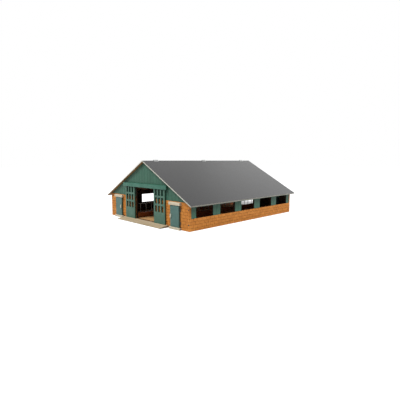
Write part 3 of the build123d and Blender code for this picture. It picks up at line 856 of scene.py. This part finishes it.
def screw_tree() -> bpy.types.NodeTree:
    """Build the tree that sets countersunk screws with a cross recess on points.

    Each point carries the way that its head faces in the attribute "facing".

    Returns:
        The tree.
    """
    made = Tree(
        "Countersunk screws",
        {
            "Head Radius": Socket.SIZE, "Shank Radius": Socket.SIZE, "Head Height": Socket.SIZE,
            "Length": Socket.SIZE, "Recess Length": Socket.SIZE, "Recess Width": Socket.SIZE,
            "Recess Height": Socket.SIZE, "Seed": Socket.COUNT, "Finish": Socket.FINISH,
        },
    )
    step, given = made.step, made.given

    # The head, its face at the point, less two crossed bars
    cone = {
        "Vertices": HEAD_SIDES, "Radius Top": given["Head Radius"], "Radius Bottom": given["Shank Radius"],
        "Depth": given["Head Height"],
    }
    head = step("GeometryNodeMeshCone", inputs=cone).outputs["Mesh"]
    drop = step("ShaderNodeMath", {"operation": "MULTIPLY"}, {0: given["Head Height"], 1: -1.0}).outputs[0]
    below = step("ShaderNodeCombineXYZ", inputs={2: drop}).outputs[0]
    slotted = step("GeometryNodeTransform", inputs={"Geometry": head, "Translation": below}).outputs[0]
    length, width, height = given["Recess Length"], given["Recess Width"], given["Recess Height"]
    for order in ((length, width, height), (width, length, height)):
        bar_size = step("ShaderNodeCombineXYZ", inputs=dict(enumerate(order))).outputs[0]
        bar = step("GeometryNodeMeshCube", inputs={"Size": bar_size}).outputs["Mesh"]
        slotted = step(
            "GeometryNodeMeshBoolean", {"operation": "DIFFERENCE", "solver": "EXACT"},
            {"Mesh 1": slotted, "Mesh 2": bar},
        ).outputs["Mesh"]

    # The shank under it
    rest = {0: given["Length"], 1: given["Head Height"]}
    reach = step("ShaderNodeMath", {"operation": "SUBTRACT"}, rest).outputs[0]
    rod = {"Vertices": BAR_SIDES, "Radius": given["Shank Radius"], "Depth": reach}
    shank = step("GeometryNodeMeshCylinder", inputs=rod).outputs["Mesh"]
    half = step("ShaderNodeMath", {"operation": "MULTIPLY_ADD"}, {0: reach, 1: -0.5, 2: drop}).outputs[0]
    under = step("ShaderNodeCombineXYZ", inputs={2: half}).outputs[0]
    driven = step("GeometryNodeTransform", inputs={"Geometry": shank, "Translation": under}).outputs[0]
    join = step("GeometryNodeJoinGeometry")
    for part in (slotted, driven):
        made.tree.links.new(part, join.inputs[0])

    # Each screw turned to its own way, with a random twist of up to half a turn
    facing = step(
        "GeometryNodeInputNamedAttribute", {"data_type": "FLOAT_VECTOR"}, {"Name": "facing"}
    ).outputs[0]
    turn = step("FunctionNodeAlignRotationToVector", {"axis": "Z"}, {"Vector": facing}).outputs[0]
    angle = step(
        "FunctionNodeRandomValue", {"data_type": "FLOAT"}, {"Seed": given["Seed"], 3: math.pi}
    ).outputs[1]
    spin = {"Axis": (0.0, 0.0, 1.0), "Angle": angle}
    twist = step("FunctionNodeAxisAngleToRotation", inputs=spin).outputs[0]
    both = step("FunctionNodeRotateRotation", {"rotation_space": "LOCAL"}, {0: turn, 1: twist}).outputs[0]
    spots = {"Points": given["Geometry"], "Instance": join.outputs[0], "Rotation": both}
    screws = step("GeometryNodeInstanceOnPoints", inputs=spots).outputs[0]
    return made.end(screws)


def post_tree() -> bpy.types.NodeTree:
    """Build the tree that stands round posts in a row along Y.

    Returns:
        The tree.
    """
    made = Tree(
        "Fence posts",
        {
            "Start": Socket.VECTOR, "Step": Socket.SIZE, "Count": Socket.COUNT, "Radius": Socket.SIZE,
            "Height": Socket.SIZE, "Finish": Socket.FINISH,
        },
    )
    step, given = made.step, made.given
    pace = step("ShaderNodeCombineXYZ", inputs={1: given["Step"]}).outputs[0]
    line = {"Count": given["Count"], "Start Location": given["Start"], "Offset": pace}
    row = step("GeometryNodeMeshLine", inputs=line).outputs["Mesh"]
    rod = {"Vertices": BAR_SIDES, "Radius": given["Radius"], "Depth": given["Height"]}
    post = step("GeometryNodeMeshCylinder", inputs=rod).outputs["Mesh"]
    half = step("ShaderNodeMath", {"operation": "MULTIPLY"}, {0: given["Height"], 1: 0.5}).outputs[0]
    above = step("ShaderNodeCombineXYZ", inputs={2: half}).outputs[0]
    stood = step("GeometryNodeTransform", inputs={"Geometry": post, "Translation": above}).outputs[0]
    posts = step("GeometryNodeInstanceOnPoints", inputs={"Points": row, "Instance": stood}).outputs[0]
    return made.end(posts)


# ------------------------------------------------------------------ the barn's parts


@dataclass(frozen=True)
class House:
    """Sizes that the gables and the side walls share, in millimetres."""

    half_width: float = 280.0
    half_length: float = 353.0
    wall_thickness: float = 9.0
    wall_height: float = 105.9
    roof_angle: float = 28.87
    course: float = 12.0  # height of a brick with its joint

    @property
    def slope(self) -> float:
        """Rise of the roof for each unit across."""
        return math.tan(math.radians(self.roof_angle))

    def wall_top(self, distance: float) -> float:
        """Height of the walls' top edge at a distance from the ridge."""
        return self.wall_height + (self.half_width - abs(distance)) * self.slope


def carve(piece: Rectangle, openings: tuple[Rectangle, ...]) -> list[Rectangle]:
    """Cut openings out of a rectangle.

    Args:
        piece: The rectangle.
        openings: Rectangles to leave out.

    Returns:
        What is left, as rectangles without slivers.
    """
    left = [piece]
    for o_left, o_right, o_low, o_high in openings:
        kept = []
        for x0, x1, z0, z1 in left:
            if x1 <= o_left or x0 >= o_right or z1 <= o_low or z0 >= o_high:
                kept.append((x0, x1, z0, z1))
                continue
            kept.append((x0, min(x1, o_left), z0, z1))
            kept.append((max(x0, o_right), x1, z0, z1))
            kept.append((max(x0, o_left), min(x1, o_right), z0, min(z1, o_low)))
            kept.append((max(x0, o_left), min(x1, o_right), max(z0, o_high), z1))
        left = [r for r in kept if r[1] - r[0] > SLIVER and r[3] - r[2] > SLIVER]
    return left


def shrunk(outline: list[Point], inset: float) -> list[Point]:
    """Move each side of a convex outline inwards.

    Args:
        outline: Corners, anticlockwise.
        inset: How far the sides move.

    Returns:
        The corners of the smaller outline.
    """
    if not inset:
        return outline
    lines = []
    for (x0, z0), (x1, z1) in zip(outline, outline[1:] + outline[:1]):
        length = math.hypot(x1 - x0, z1 - z0)
        nx, nz = -(z1 - z0) / length, (x1 - x0) / length
        lines.append((nx, nz, nx * x0 + nz * z0 + inset))
    corners = []
    for (a0, b0, c0), (a1, b1, c1) in zip(lines[-1:] + lines[:-1], lines):
        det = a0 * b1 - a1 * b0
        corners.append(((c0 * b1 - c1 * b0) / det, (a0 * c1 - a1 * c0) / det))
    return corners


class Zone(Enum):
    """Parts of a wall's milled board, each with the number of its material."""

    JOINT = 0
    GROOVE = 1
    EDGE = 2
    BACK = 3


@dataclass
class Wall:
    """One wall: its milled board, the brick faces below and the green boards above.

    Along is the way from left to right in the wall's rectangles, and reach is half the wall's
    length that way. The face stands at distance from the middle of the barn. Sizes are in
    millimetres.
    """

    name: str
    slot: str
    outward: Vector
    along: Vector
    distance: float
    reach: float
    courses: int
    bricks_each_way: int
    seed: int
    openings: tuple[Rectangle, ...] = ()
    house: House = House()
    joint: float = 0.9
    relief: float = 0.8  # how deep the joints and grooves are milled
    sunk: float = 0.2  # how far bricks and boards are let into the milled face
    clear: float = 0.05  # keeps their sides and backs off the next piece
    chamfer: float = 0.3
    groove: float = 0.75  # half the width of the groove between two boards, at the face
    tone_step: float = 0.618034  # golden section, which keeps the tones of neighbours apart
    tone_start: float = 0.37  # step of the first board's tone from one wall to the next

    @property
    def wraps(self) -> bool:
        """Whether the bricks go round the wall's ends, as they do on the gables."""
        return abs(self.outward.y) > FACING

    @property
    def line(self) -> float:
        """Height of the top of the bricks."""
        return self.courses * self.house.course

    def spot(self, across: float, height: float, depth: float = 0.0) -> Vector:
        """Give a point on the wall.

        Args:
            across: Place along the wall, in millimetres.
            height: Height, in millimetres.
            depth: How far behind the outer face, in millimetres.

        Returns:
            The point in metres.
        """
        return (self.along * across + self.outward * (self.distance - depth) + Vector((0, 0, height))) * MM

    def build(
        self, finishes: Finishes, tree: bpy.types.NodeTree, outlines: list[list[Point]], seats: list[Seat]
    ) -> None:
        """Build the milled board, the bricks and the green boards.

        Args:
            finishes: The barn's finishes.
            tree: Tree that grows brick faces.
            outlines: Outline of each green board on the wall, anticlockwise.
            seats: Screws that go through the face.
        """
        self.core(finishes)
        self.bricks(finishes, tree, [seat for seat in seats if seat.middle.z < self.line * MM])
        self.boards(finishes, outlines, [seat for seat in seats if seat.middle.z > self.line * MM])

    def zone(self, polygon: bmesh.types.BMFace) -> Zone:
        """Tell which part of the milled board a face belongs to.

        Args:
            polygon: A face of the milled board.

        Returns:
            Its part.
        """
        middle = polygon.calc_center_median()
        ahead = polygon.normal.dot(self.outward)
        sideways = abs(polygon.normal.dot(self.along)) > FACING
        at_end = abs(middle.dot(self.along)) > (self.reach - 2 * self.relief) * MM
        if self.wraps and sideways and at_end:
            return Zone.JOINT
        if ahead > FACING:
            return Zone.JOINT if middle.z < self.line * MM else Zone.GROOVE
        return Zone.BACK if ahead < -FACING else Zone.EDGE

    def core(self, finishes: Finishes) -> None:
        """Mill the wall's board: push its outer face in by the relief and give each face its finish.

        Args:
            finishes: The barn's finishes.
        """
        mesh = merged(self.name, flatten=False)
        face, end, depth = self.distance * MM, self.reach * MM, self.relief * MM
        for vertex in mesh.verts:
            if vertex.co.dot(self.outward) > face - TOUCH:
                vertex.co -= self.outward * depth
            across = vertex.co.dot(self.along)
            if self.wraps and abs(across) > end - TOUCH:
                vertex.co -= self.along * math.copysign(depth, across)
        everything = mesh.verts[:] + mesh.edges[:] + mesh.faces[:]
        bmesh.ops.bisect_plane(mesh, geom=everything, plane_co=(0, 0, self.line * MM), plane_no=(0, 0, 1))
        bmesh.ops.dissolve_degenerate(mesh, dist=TOUCH, edges=mesh.edges)
        for polygon in mesh.faces:
            polygon.material_index = self.zone(polygon).value
        in_order = (finishes.joint, finishes.groove, finishes.edge, finishes.back)
        materials = [finish.material() for finish in in_order]
        placed(self.name + "_board", plain(mesh), materials, "barn", [self.name])

    def brick_points(self) -> bpy.types.Mesh:
        """Lay out the bricks in running bond round the openings.

        Returns:
            A mesh with one vertex in the middle of each brick and its size as an attribute.
        """
        pitch = 2 * self.reach / self.bricks_each_way
        half = self.joint / 2
        rectangles = []
        for course in range(self.courses):
            low = course * self.house.course
            start = -self.reach - (pitch / 2 if course % 2 else 0.0)
            for index in range(self.bricks_each_way + 1):
                x0, x1 = start + index * pitch + half, start + (index + 1) * pitch - half
                x0 = -self.reach if x0 < -self.reach + 2 * half else x0
                x1 = self.reach if x1 > self.reach - 2 * half else x1
                if x1 - x0 > SLIVER:
                    bottom = low if course == 0 else low + half
                    rectangles += carve((x0, x1, bottom, low + self.house.course - half), self.openings)
        spots, sizes = [], []
        for x0, x1, z0, z1 in rectangles:
            at_end = self.wraps and (x0 <= -self.reach or x1 >= self.reach)
            depth = self.house.wall_thickness - self.clear if at_end else self.relief + self.sunk
            thickness = depth - self.chamfer
            spots.append(self.spot((x0 + x1) / 2, (z0 + z1) / 2, self.chamfer + thickness / 2))
            size = self.along * (x1 - x0) + self.outward * thickness + Vector((0, 0, z1 - z0))
            sizes += [abs(value) for value in size * MM]
        made = bpy.data.meshes.new(self.name + "_points")
        made.from_pydata(spots, [], [])
        made.attributes.new("size", "FLOAT_VECTOR", "POINT").data.foreach_set("vector", sizes)
        return made

    def bricks(self, finishes: Finishes, tree: bpy.types.NodeTree, seats: list[Seat]) -> None:
        """Grow the brick faces and drill them for the screws.

        Args:
            finishes: The barn's finishes.
            tree: Tree that grows brick faces.
            seats: Screws that go through them.
        """
        values = {
            "Outward": self.outward, "Chamfer": self.chamfer * MM, "Wall Height": self.house.wall_height * MM,
            "Half Width": self.house.half_width * MM, "Slope": self.house.slope, "Seed": self.seed,
            "Finish": finishes.brick.material(),
        }
        name = self.name + "_bricks"
        mesh = bored(grown(name, self.brick_points(), tree, values), seats)
        placed(name, mesh, [], "barn", [self.name])

    def boards(self, finishes: Finishes, outlines: list[list[Point]], seats: list[Seat]) -> None:
        """Build the green boards as blocks with chamfered edges and drill them for the screws.

        Args:
            finishes: The barn's finishes.
            outlines: Outline of each board on the wall, anticlockwise.
            seats: Screws that go through them.
        """
        mesh = bmesh.new()
        tone = mesh.verts.layers.float.new("tone")
        rings = ((self.relief + self.sunk, self.clear), (self.groove, self.clear), (0.0, self.groove))
        for number, outline in enumerate(outlines):
            shade = (number * self.tone_step + self.seed * self.tone_start) % 1.0
            levels = []
            for depth, inset in rings:
                ring = [mesh.verts.new(self.spot(x, z, depth)) for x, z in shrunk(outline, inset)]
                for vertex in ring:
                    vertex[tone] = shade
                levels.append(ring)
            mesh.faces.new(reversed(levels[0]))
            mesh.faces.new(levels[-1])
            for lower, upper in zip(levels, levels[1:]):
                for index in range(len(lower)):
                    after = (index + 1) % len(lower)
                    mesh.faces.new((lower[index], lower[after], upper[after], upper[index]))
        bmesh.ops.recalc_face_normals(mesh, faces=mesh.faces)
        made = bored(plain(mesh), seats)
        materials = [finishes.boards.material()]
        placed(self.name + "_green_boards", made, materials, "barn", [self.name])


@dataclass
class Gable:
    """A gable wall with its doorway, two small doorways and boards up to the ridge.

    Sizes are in millimetres.
    """

    end: str
    way: float  # -1 at the front, 1 at the rear
    seed: int
    doorway: Rectangle = (-70.0, 70.0, 9.0, 150.0)
    small_doorway: Triple = (182.0, 223.5, 88.5)  # inner side, outer side, head
    board_width: float = 20.0
    least_side: float = 0.1  # a board's outline has no side shorter than this
    courses: int = 9
    bricks_each_way: int = 24
    house: House = House()

    def build(self, finishes: Finishes, tree: bpy.types.NodeTree, screws: list[Seat]) -> None:
        """Build the board, the bricks and the green boards.

        Args:
            finishes: The barn's finishes.
            tree: Tree that grows brick faces.
            screws: Screws of the walls.
        """
        house, floor = self.house, self.doorway[2]
        inner, outer, head = self.small_doorway
        wall = Wall(
            name=self.end + "_gable", slot="printed_gable",
            outward=Vector((0, self.way, 0)), along=Vector((1, 0, 0)),
            distance=house.half_length, reach=house.half_width,
            courses=self.courses, bricks_each_way=self.bricks_each_way, seed=self.seed,
            openings=(self.doorway, (inner, outer, floor, head), (-outer, -inner, floor, head)), house=house,
        )
        own = [seat for seat in screws if seat.facing.y * self.way > FACING]
        wall.build(finishes, tree, self.outlines(wall.line), own)

    def outlines(self, line: float) -> list[list[Point]]:
        """Outline each upright board between the bricks and the roof.

        Args:
            line: Height of the top of the bricks.

        Returns:
            The outlines, anticlockwise.
        """
        house, (left, right, _, head) = self.house, self.doorway
        reach = house.half_width - (line - house.wall_height) / house.slope
        count = math.ceil(reach / self.board_width)
        made = []
        for index in range(-count, count):
            x0 = max(index * self.board_width, -reach)
            x1 = min((index + 1) * self.board_width, reach)
            spans = [(x0, x1, line)]
            if x0 < right and x1 > left:
                spans = [(x0, x1, head)]
                if x0 < left:
                    spans.append((x0, left, line))
                if x1 > right:
                    spans.append((right, x1, line))
            for a, b, low in spans:
                top_a, top_b = house.wall_top(a), house.wall_top(b)
                if low == line and (a == left or b == left or a == right or b == right):
                    top_a = top_b = head
                outline = [(a, low), (b, low), (b, top_b), (a, top_a)]
                sides = zip(outline, outline[1:] + outline[:1])
                outline = [start for start, end in sides if math.dist(start, end) > self.least_side]
                if len(outline) > 2 and b - a > SLIVER:
                    made.append(outline)
        return made


@dataclass
class SideWall:
    """A long wall: bricks up to the sills, five windows and green boards between and over them.

    Sizes are in millimetres.
    """

    side: str
    way: float  # -1 on the left, 1 on the right
    seed: int
    windows: int = 5
    sill: float = 48.0
    head: float = 90.0
    end_pillar: float = 26.0  # from the gable's inner face to the first window
    pillar: float = 43.0
    boards_over_window: int = 4
    boards_in_pillar: int = 2
    courses: int = 4
    bricks_each_way: int = 30
    house: House = House()

    @property
    def reach(self) -> float:
        """Half the wall's length, between the gables."""
        return self.house.half_length - self.house.wall_thickness

    def build(self, finishes: Finishes, tree: bpy.types.NodeTree) -> None:
        """Build the board, the bricks and the green boards.

        Args:
            finishes: The barn's finishes.
            tree: Tree that grows brick faces.
        """
        wall = Wall(
            name=self.side + "_side_wall", slot="printed_side_wall",
            outward=Vector((self.way, 0, 0)), along=Vector((0, 1, 0)),
            distance=self.house.half_width, reach=self.reach,
            courses=self.courses, bricks_each_way=self.bricks_each_way, seed=self.seed, house=self.house,
        )
        wall.build(finishes, tree, self.outlines(), [])

    def split(self, left: float, width: float, count: int, low: float) -> list[list[Point]]:
        """Divide a stretch of the wall into upright boards that reach its top.

        Args:
            left: Where the stretch starts.
            width: Its width.
            count: Number of boards.
            low: Height of their lower ends.

        Returns:
            Their outlines, anticlockwise.
        """
        top = self.house.wall_height
        sides = [(left + width * n / count, left + width * (n + 1) / count) for n in range(count)]
        return [[(a, low), (b, low), (b, top), (a, top)] for a, b in sides]

    def outlines(self) -> list[list[Point]]:
        """Outline each upright board beside and over the windows.

        Returns:
            The outlines, anticlockwise.
        """
        first, last = -self.reach, self.reach - self.end_pillar
        made = self.split(first, self.end_pillar, 1, self.sill)
        made += self.split(last, self.end_pillar, 1, self.sill)
        width = (2 * last - (self.windows - 1) * self.pillar) / self.windows
        for index in range(self.windows):
            start = first + self.end_pillar + index * (width + self.pillar)
            made += self.split(start, width, self.boards_over_window, self.head)
            if index < self.windows - 1:
                made += self.split(start + width, self.pillar, self.boards_in_pillar, self.sill)
        return made


class RoofFace(Enum):
    """Faces of a roof board, each with the number of its material."""

    TOP = 0
    END = 1
    UNDERSIDE = 2
    LONG_EDGE = 3


@dataclass
class Roof:
    """One roof board: painted on top, primed at the edges and brown underneath."""

    side: str
    worn_edge: float = 0.35  # width of the rounded, worn edge, in millimetres
    least_edge: float = 10.0  # shorter edges stay sharp, in millimetres
    least_bend: float = 0.6  # and so do edges that bend by less, in radians
    level: float = 0.8  # least part of a face's normal that makes it a top, an underside or an end

    def face(self, normal: Vector) -> RoofFace:
        """Tell which face of the board a polygon belongs to.

        Args:
            normal: The polygon's normal.

        Returns:
            Its face.
        """
        if abs(normal.z) > self.level:
            return RoofFace.TOP if normal.z > 0 else RoofFace.UNDERSIDE
        return RoofFace.END if abs(normal.y) > self.level else RoofFace.LONG_EDGE

    def build(self, finishes: Finishes) -> None:
        """Build one roof board with a finish for each kind of face.

        Args:
            finishes: The barn's finishes.
        """
        node = self.side + "_roof_board"
        mesh = merged(node)
        for polygon in mesh.faces:
            polygon.material_index = self.face(polygon.normal).value
        weights = mesh.edges.layers.float.new("bevel_weight_edge")
        for edge in mesh.edges:
            bent = len(edge.link_faces) == 2 and edge.calc_face_angle(0.0) > self.least_bend
            if bent and edge.calc_length() > self.least_edge * MM:
                edge[weights] = 1.0
        in_order = (finishes.roof, finishes.verge, finishes.soffit, finishes.eave)
        materials = [finish.material() for finish in in_order]
        piece = placed(node + "_painted", plain(mesh), materials, self.side + "_roof", [node])
        bevel = piece.modifiers.new("worn edges", "BEVEL")
        bevel.limit_method = "WEIGHT"
        bevel.width = self.worn_edge * MM
        bevel.segments = 2


@dataclass
class Screws:
    """Countersunk wood screws with a cross recess, one set for each CAD node of screws.

    Shares are of the head's radius.
    """

    shank_share: float = 0.5
    head_share: float = 0.6  # height of the head
    recess_length_share: float = 1.25
    recess_width_share: float = 0.28
    recess_height_share: float = 0.54  # height of the bars that cut the recess, half of it in the head
    seed: int = 31

    def build(self, finishes: Finishes) -> None:
        """Replace each node of screws, in the places that its solids give.

        Args:
            finishes: The barn's finishes.
        """
        tree = screw_tree()
        nodes = [name for name in frame["nodes"] if name.endswith("screws")]
        for number, node in enumerate(sorted(nodes)):
            seats = screw_seats(node)
            points = bpy.data.meshes.new(node + "_points")
            points.from_pydata([seat.middle for seat in seats], [], [])
            facing = points.attributes.new("facing", "FLOAT_VECTOR", "POINT")
            facing.data.foreach_set("vector", [value for seat in seats for value in seat.facing])
            radius = seats[0].radius
            values = {
                "Head Radius": radius, "Shank Radius": radius * self.shank_share,
                "Head Height": radius * self.head_share, "Length": seats[0].length,
                "Recess Length": radius * self.recess_length_share,
                "Recess Width": radius * self.recess_width_share,
                "Recess Height": radius * self.recess_height_share,
                "Seed": self.seed + number, "Finish": finishes.screw.material(),
            }
            mesh = grown(node + "_driven", points, tree, values)
            placed(node + "_driven", mesh, [], frame["nodes"][node]["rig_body"], [node])


@dataclass
class FeedFence:
    """Posts of one feed fence, let into the kick board and the rail."""

    side: str
    radius: float = 1.25  # of a post, in millimetres
    count: int = 22

    def build(self, finishes: Finishes, tree: bpy.types.NodeTree) -> None:
        """Stand the posts in the space of their CAD node.

        Args:
            finishes: The barn's finishes.
            tree: Tree that stands posts in a row.
        """
        node = self.side + "_fence_posts"
        low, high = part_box(node)
        start = Vector(((low.x + high.x) / 2, low.y + self.radius * MM, low.z))
        values = {
            "Start": start, "Step": (high.y - low.y - 2 * self.radius * MM) / (self.count - 1),
            "Count": self.count, "Radius": self.radius * MM, "Height": high.z - low.z,
            "Finish": finishes.fence.material(),
        }
        mesh = grown(node + "_row", bpy.data.meshes.new(node + "_points"), tree, values)
        round_shading(mesh)
        placed(node + "_row", mesh, [], "barn", [node])


@dataclass(frozen=True)
class Dress:
    """A finish for the CAD nodes whose names end in a word."""

    ending: str
    finish: Finish


def dress_nodes(finishes: Finishes) -> None:
    """Give each CAD node that stays its finish.

    Args:
        finishes: The barn's finishes.
    """
    rules = [
        Dress("header_rail", finishes.header),
        Dress("sliding_door", finishes.door),
        Dress("small_door", finishes.small_door),
        Dress("handle", finishes.cream),
        Dress("ramp", finishes.ramp),
        Dress("step", finishes.pale),
        Dress("lintel", finishes.pale),
        Dress("kick_board", finishes.kick),
        Dress("fence_rail", finishes.fence),
        Dress("ridge_beam", finishes.pine),
        Dress("floor_dowels", finishes.pine),
        Dress("floor_panel", finishes.floor),
        Dress("ridge_leaves", finishes.ridge_hinge),
        Dress("ridge_pins", finishes.ridge_hinge),
        Dress("ridge_eyes", finishes.ridge_hinge),
        Dress("leaves", finishes.hinge),
        Dress("pins", finishes.hinge),
    ]
    for name, node in frame["nodes"].items():
        if node.hide_render:
            continue
        rule = next(rule for rule in rules if name.endswith(rule.ending))
        node.data.materials.clear()
        node.data.materials.append(rule.finish.material())
        log.info("%s: %s", name, rule.finish.name)


# ------------------------------------------------------------------ studio


@dataclass(frozen=True)
class Softbox:
    """A square studio lamp, with its place and size in metres.

    A lamp that is not mirrored leaves no highlight on satin paint and steel.
    """

    name: str
    place: Triple
    size: float
    power: float
    aim: Triple = (0.0, 0.0, 0.08)
    mirrored: bool = False

    def build(self) -> None:
        """Hang the lamp and turn it to what it lights."""
        lamp = bpy.data.lights.new(self.name, "AREA")
        lamp.size = self.size
        lamp.energy = self.power
        hung = bpy.data.objects.new(self.name, lamp)
        hung.location = self.place
        hung.rotation_euler = (Vector(self.aim) - Vector(self.place)).to_track_quat("-Z", "Y").to_euler()
        hung.visible_glossy = self.mirrored
        bpy.context.scene.collection.objects.link(hung)


@dataclass(frozen=True)
class TableLaminate:
    """Pale matt laminate that glows white to the camera and in reflections.

    It takes the barn's soft shadow from the lamps. In a fixed patch behind the barn, where the barn's
    own shadow lies, the glow is turned down to a painted shadow. Far away the glow grows to plain white,
    so that no horizon shows. Sizes are in metres.
    """

    name: str = "white table laminate"
    colour: str = "#B4B4B4"
    glow_near: float = 0.8  # how white the table looks beside the barn, over its own light
    glow_in_painted_shadow: float = 0.1  # how white it looks in the painted shadow behind the barn
    # middle of the patch of painted shadow, where the barn's own shadow falls behind it
    painted_shadow_middle: Triple = (-0.1, 0.36, 0.0)
    painted_shadow_reach: Triple = (0.15, 0.16, 1.0)  # half the size of the painted shadow's full part
    painted_shadow_fade: float = 0.17  # width of its soft edge
    haze_start: float = 0.6  # distance at which the table starts to turn plain white
    haze_end: float = 1.6

    def strength(self, tree: bpy.types.NodeTree) -> bpy.types.NodeSocket:
        """Work out how strongly each point of the table glows, less in the painted shadow behind the barn.

        Args:
            tree: Material's tree.

        Returns:
            Socket with the strength.
        """
        place = add(tree, "ShaderNodeTexCoord").outputs["Object"]
        soft = {"interpolation_type": "SMOOTHSTEP"}
        # Distance from the patch behind the barn, where the glow is turned down to a painted shadow
        moved = add(
            tree, "ShaderNodeVectorMath", {"operation": "SUBTRACT"}, {0: place, 1: self.painted_shadow_middle}
        ).outputs[0]
        apart = add(tree, "ShaderNodeVectorMath", {"operation": "ABSOLUTE"}, {0: moved}).outputs[0]
        beyond = add(
            tree, "ShaderNodeVectorMath", {"operation": "SUBTRACT"}, {0: apart, 1: self.painted_shadow_reach}
        ).outputs[0]
        outside = add(
            tree, "ShaderNodeVectorMath", {"operation": "MAXIMUM"}, {0: beyond, 1: (0.0, 0.0, 0.0)}
        ).outputs[0]
        distance = add(tree, "ShaderNodeVectorMath", {"operation": "LENGTH"}, {0: outside}).outputs["Value"]
        rise = {"From Max": self.painted_shadow_fade, "To Min": self.glow_in_painted_shadow, "To Max": self.glow_near}
        glow_with_painted_shadow = add(tree, "ShaderNodeMapRange", soft, {"Value": distance} | rise).outputs["Result"]
        far = add(tree, "ShaderNodeVectorMath", {"operation": "LENGTH"}, {0: place}).outputs["Value"]
        thicken = {"From Min": self.haze_start, "From Max": self.haze_end, "To Max": 1.0 - self.glow_near}
        haze = add(tree, "ShaderNodeMapRange", soft, {"Value": far} | thicken).outputs["Result"]
        return add(tree, "ShaderNodeMath", {"operation": "ADD"}, {0: glow_with_painted_shadow, 1: haze}).outputs[0]

    def material(self) -> bpy.types.Material:
        """Build the material.

        Returns:
            The material with its whole node tree.
        """
        made = bpy.data.materials.new(self.name)
        made.use_nodes = True
        tree = made.node_tree
        tree.nodes.clear()
        paper = add(tree, "ShaderNodeBsdfDiffuse", inputs={"Color": linear(self.colour)}).outputs[0]
        glow = add(
            tree, "ShaderNodeEmission", inputs={"Color": WHITE, "Strength": self.strength(tree)}
        ).outputs[0]
        seen = seen_by(tree, ("Is Camera Ray", "Is Glossy Ray"))
        lit = add(tree, "ShaderNodeAddShader", inputs={0: paper, 1: glow}).outputs[0]
        mixed = add(tree, "ShaderNodeMixShader", inputs={0: seen, 1: paper, 2: lit}).outputs[0]
        add(tree, "ShaderNodeOutputMaterial", inputs={"Surface": mixed})
        return made


@dataclass(frozen=True)
class Studio:
    """White table, soft lamps and the camera. Sizes are in metres."""

    ambient: float = 0.15  # how much of the white room lights the barn
    laminate: TableLaminate = TableLaminate()
    table_reach: float = 12.0  # from the middle of the table to its edges
    table_drop: float = 0.0002  # keeps the table top off the barn's underside
    lens: float = 29.689  # focal length and sensor, in millimetres
    sensor: float = 36.0
    nearest: float = 0.01  # what is nearer to the camera isn't drawn
    camera_place: Triple = (1.1663, -1.1678, 0.2644)
    camera_turn: Triple = (math.pi / 2 - 0.119, 0.0, 0.795)  # in radians, tipped 0.119 below level
    lamps: tuple[Softbox, ...] = (
        Softbox("key softbox", (-0.3, -1.7, 2.4), 0.9, 90.0),
        Softbox("side softbox", (1.75, 0.8, 2.1), 1.3, 73.0),
        Softbox("sheen softbox", (-0.3, 2.3, 1.2), 1.5, 1.6, aim=(0.2, 0.3, 0.15), mirrored=True),
    )

    def build(self) -> None:
        """Build the table, the surroundings, the lamps and the camera."""
        self.table()
        self.surroundings()
        for lamp in self.lamps:
            lamp.build()
        camera = bpy.data.cameras.new("camera")
        camera.lens = self.lens
        camera.sensor_width = self.sensor
        camera.clip_start = self.nearest
        stand = bpy.data.objects.new("camera", camera)
        stand.location = self.camera_place
        stand.rotation_euler = self.camera_turn
        bpy.context.scene.collection.objects.link(stand)
        bpy.context.scene.camera = stand
        bpy.context.scene.view_settings.view_transform = "Standard"

    def table(self) -> None:
        """Lay the pale table top, which takes the barn's shadow."""
        mesh = bmesh.new()
        bmesh.ops.create_grid(mesh, x_segments=2, y_segments=2, size=self.table_reach)
        for vertex in mesh.verts:
            vertex.co.z = -self.table_drop
        made = plain(mesh)
        top = bpy.data.objects.new("table_top", made)
        bpy.context.scene.collection.objects.link(top)
        made.materials.append(self.laminate.material())

    def surroundings(self) -> None:
        """Make the room white to the camera and in reflections, and dim to the barn."""
        world = bpy.data.worlds.new("white room")
        bpy.context.scene.world = world
        world.use_nodes = True
        tree = world.node_tree
        tree.nodes.clear()
        seen = seen_by(tree, ("Is Camera Ray", "Is Transmission Ray", "Is Glossy Ray"))
        dim = add(tree, "ShaderNodeBackground", inputs={"Color": WHITE, "Strength": self.ambient}).outputs[0]
        white = add(tree, "ShaderNodeBackground", inputs={"Color": WHITE, "Strength": 1.0}).outputs[0]
        mixed = add(tree, "ShaderNodeMixShader", inputs={0: seen, 1: dim, 2: white}).outputs[0]
        add(tree, "ShaderNodeOutputWorld", inputs={"Surface": mixed})


def main() -> None:
    """Build the barn and its studio."""
    logging.basicConfig(level=logging.INFO, format="%(name)s %(message)s")
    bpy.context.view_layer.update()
    finishes = Finishes()
    wall_screws = screw_seats("panel_screws")
    brick_faces = brick_tree()
    for end, way, seed in (("front", -1.0, 11), ("rear", 1.0, 12)):
        Gable(end, way, seed).build(finishes, brick_faces, wall_screws)
    posts = post_tree()
    for side, way, seed in (("left", -1.0, 21), ("right", 1.0, 22)):
        SideWall(side, way, seed).build(finishes, brick_faces)
        Roof(side).build(finishes)
        FeedFence(side).build(finishes, posts)
    Screws().build(finishes)
    dress_nodes(finishes)
    Studio().build()


if __name__ == "__main__":
    main()
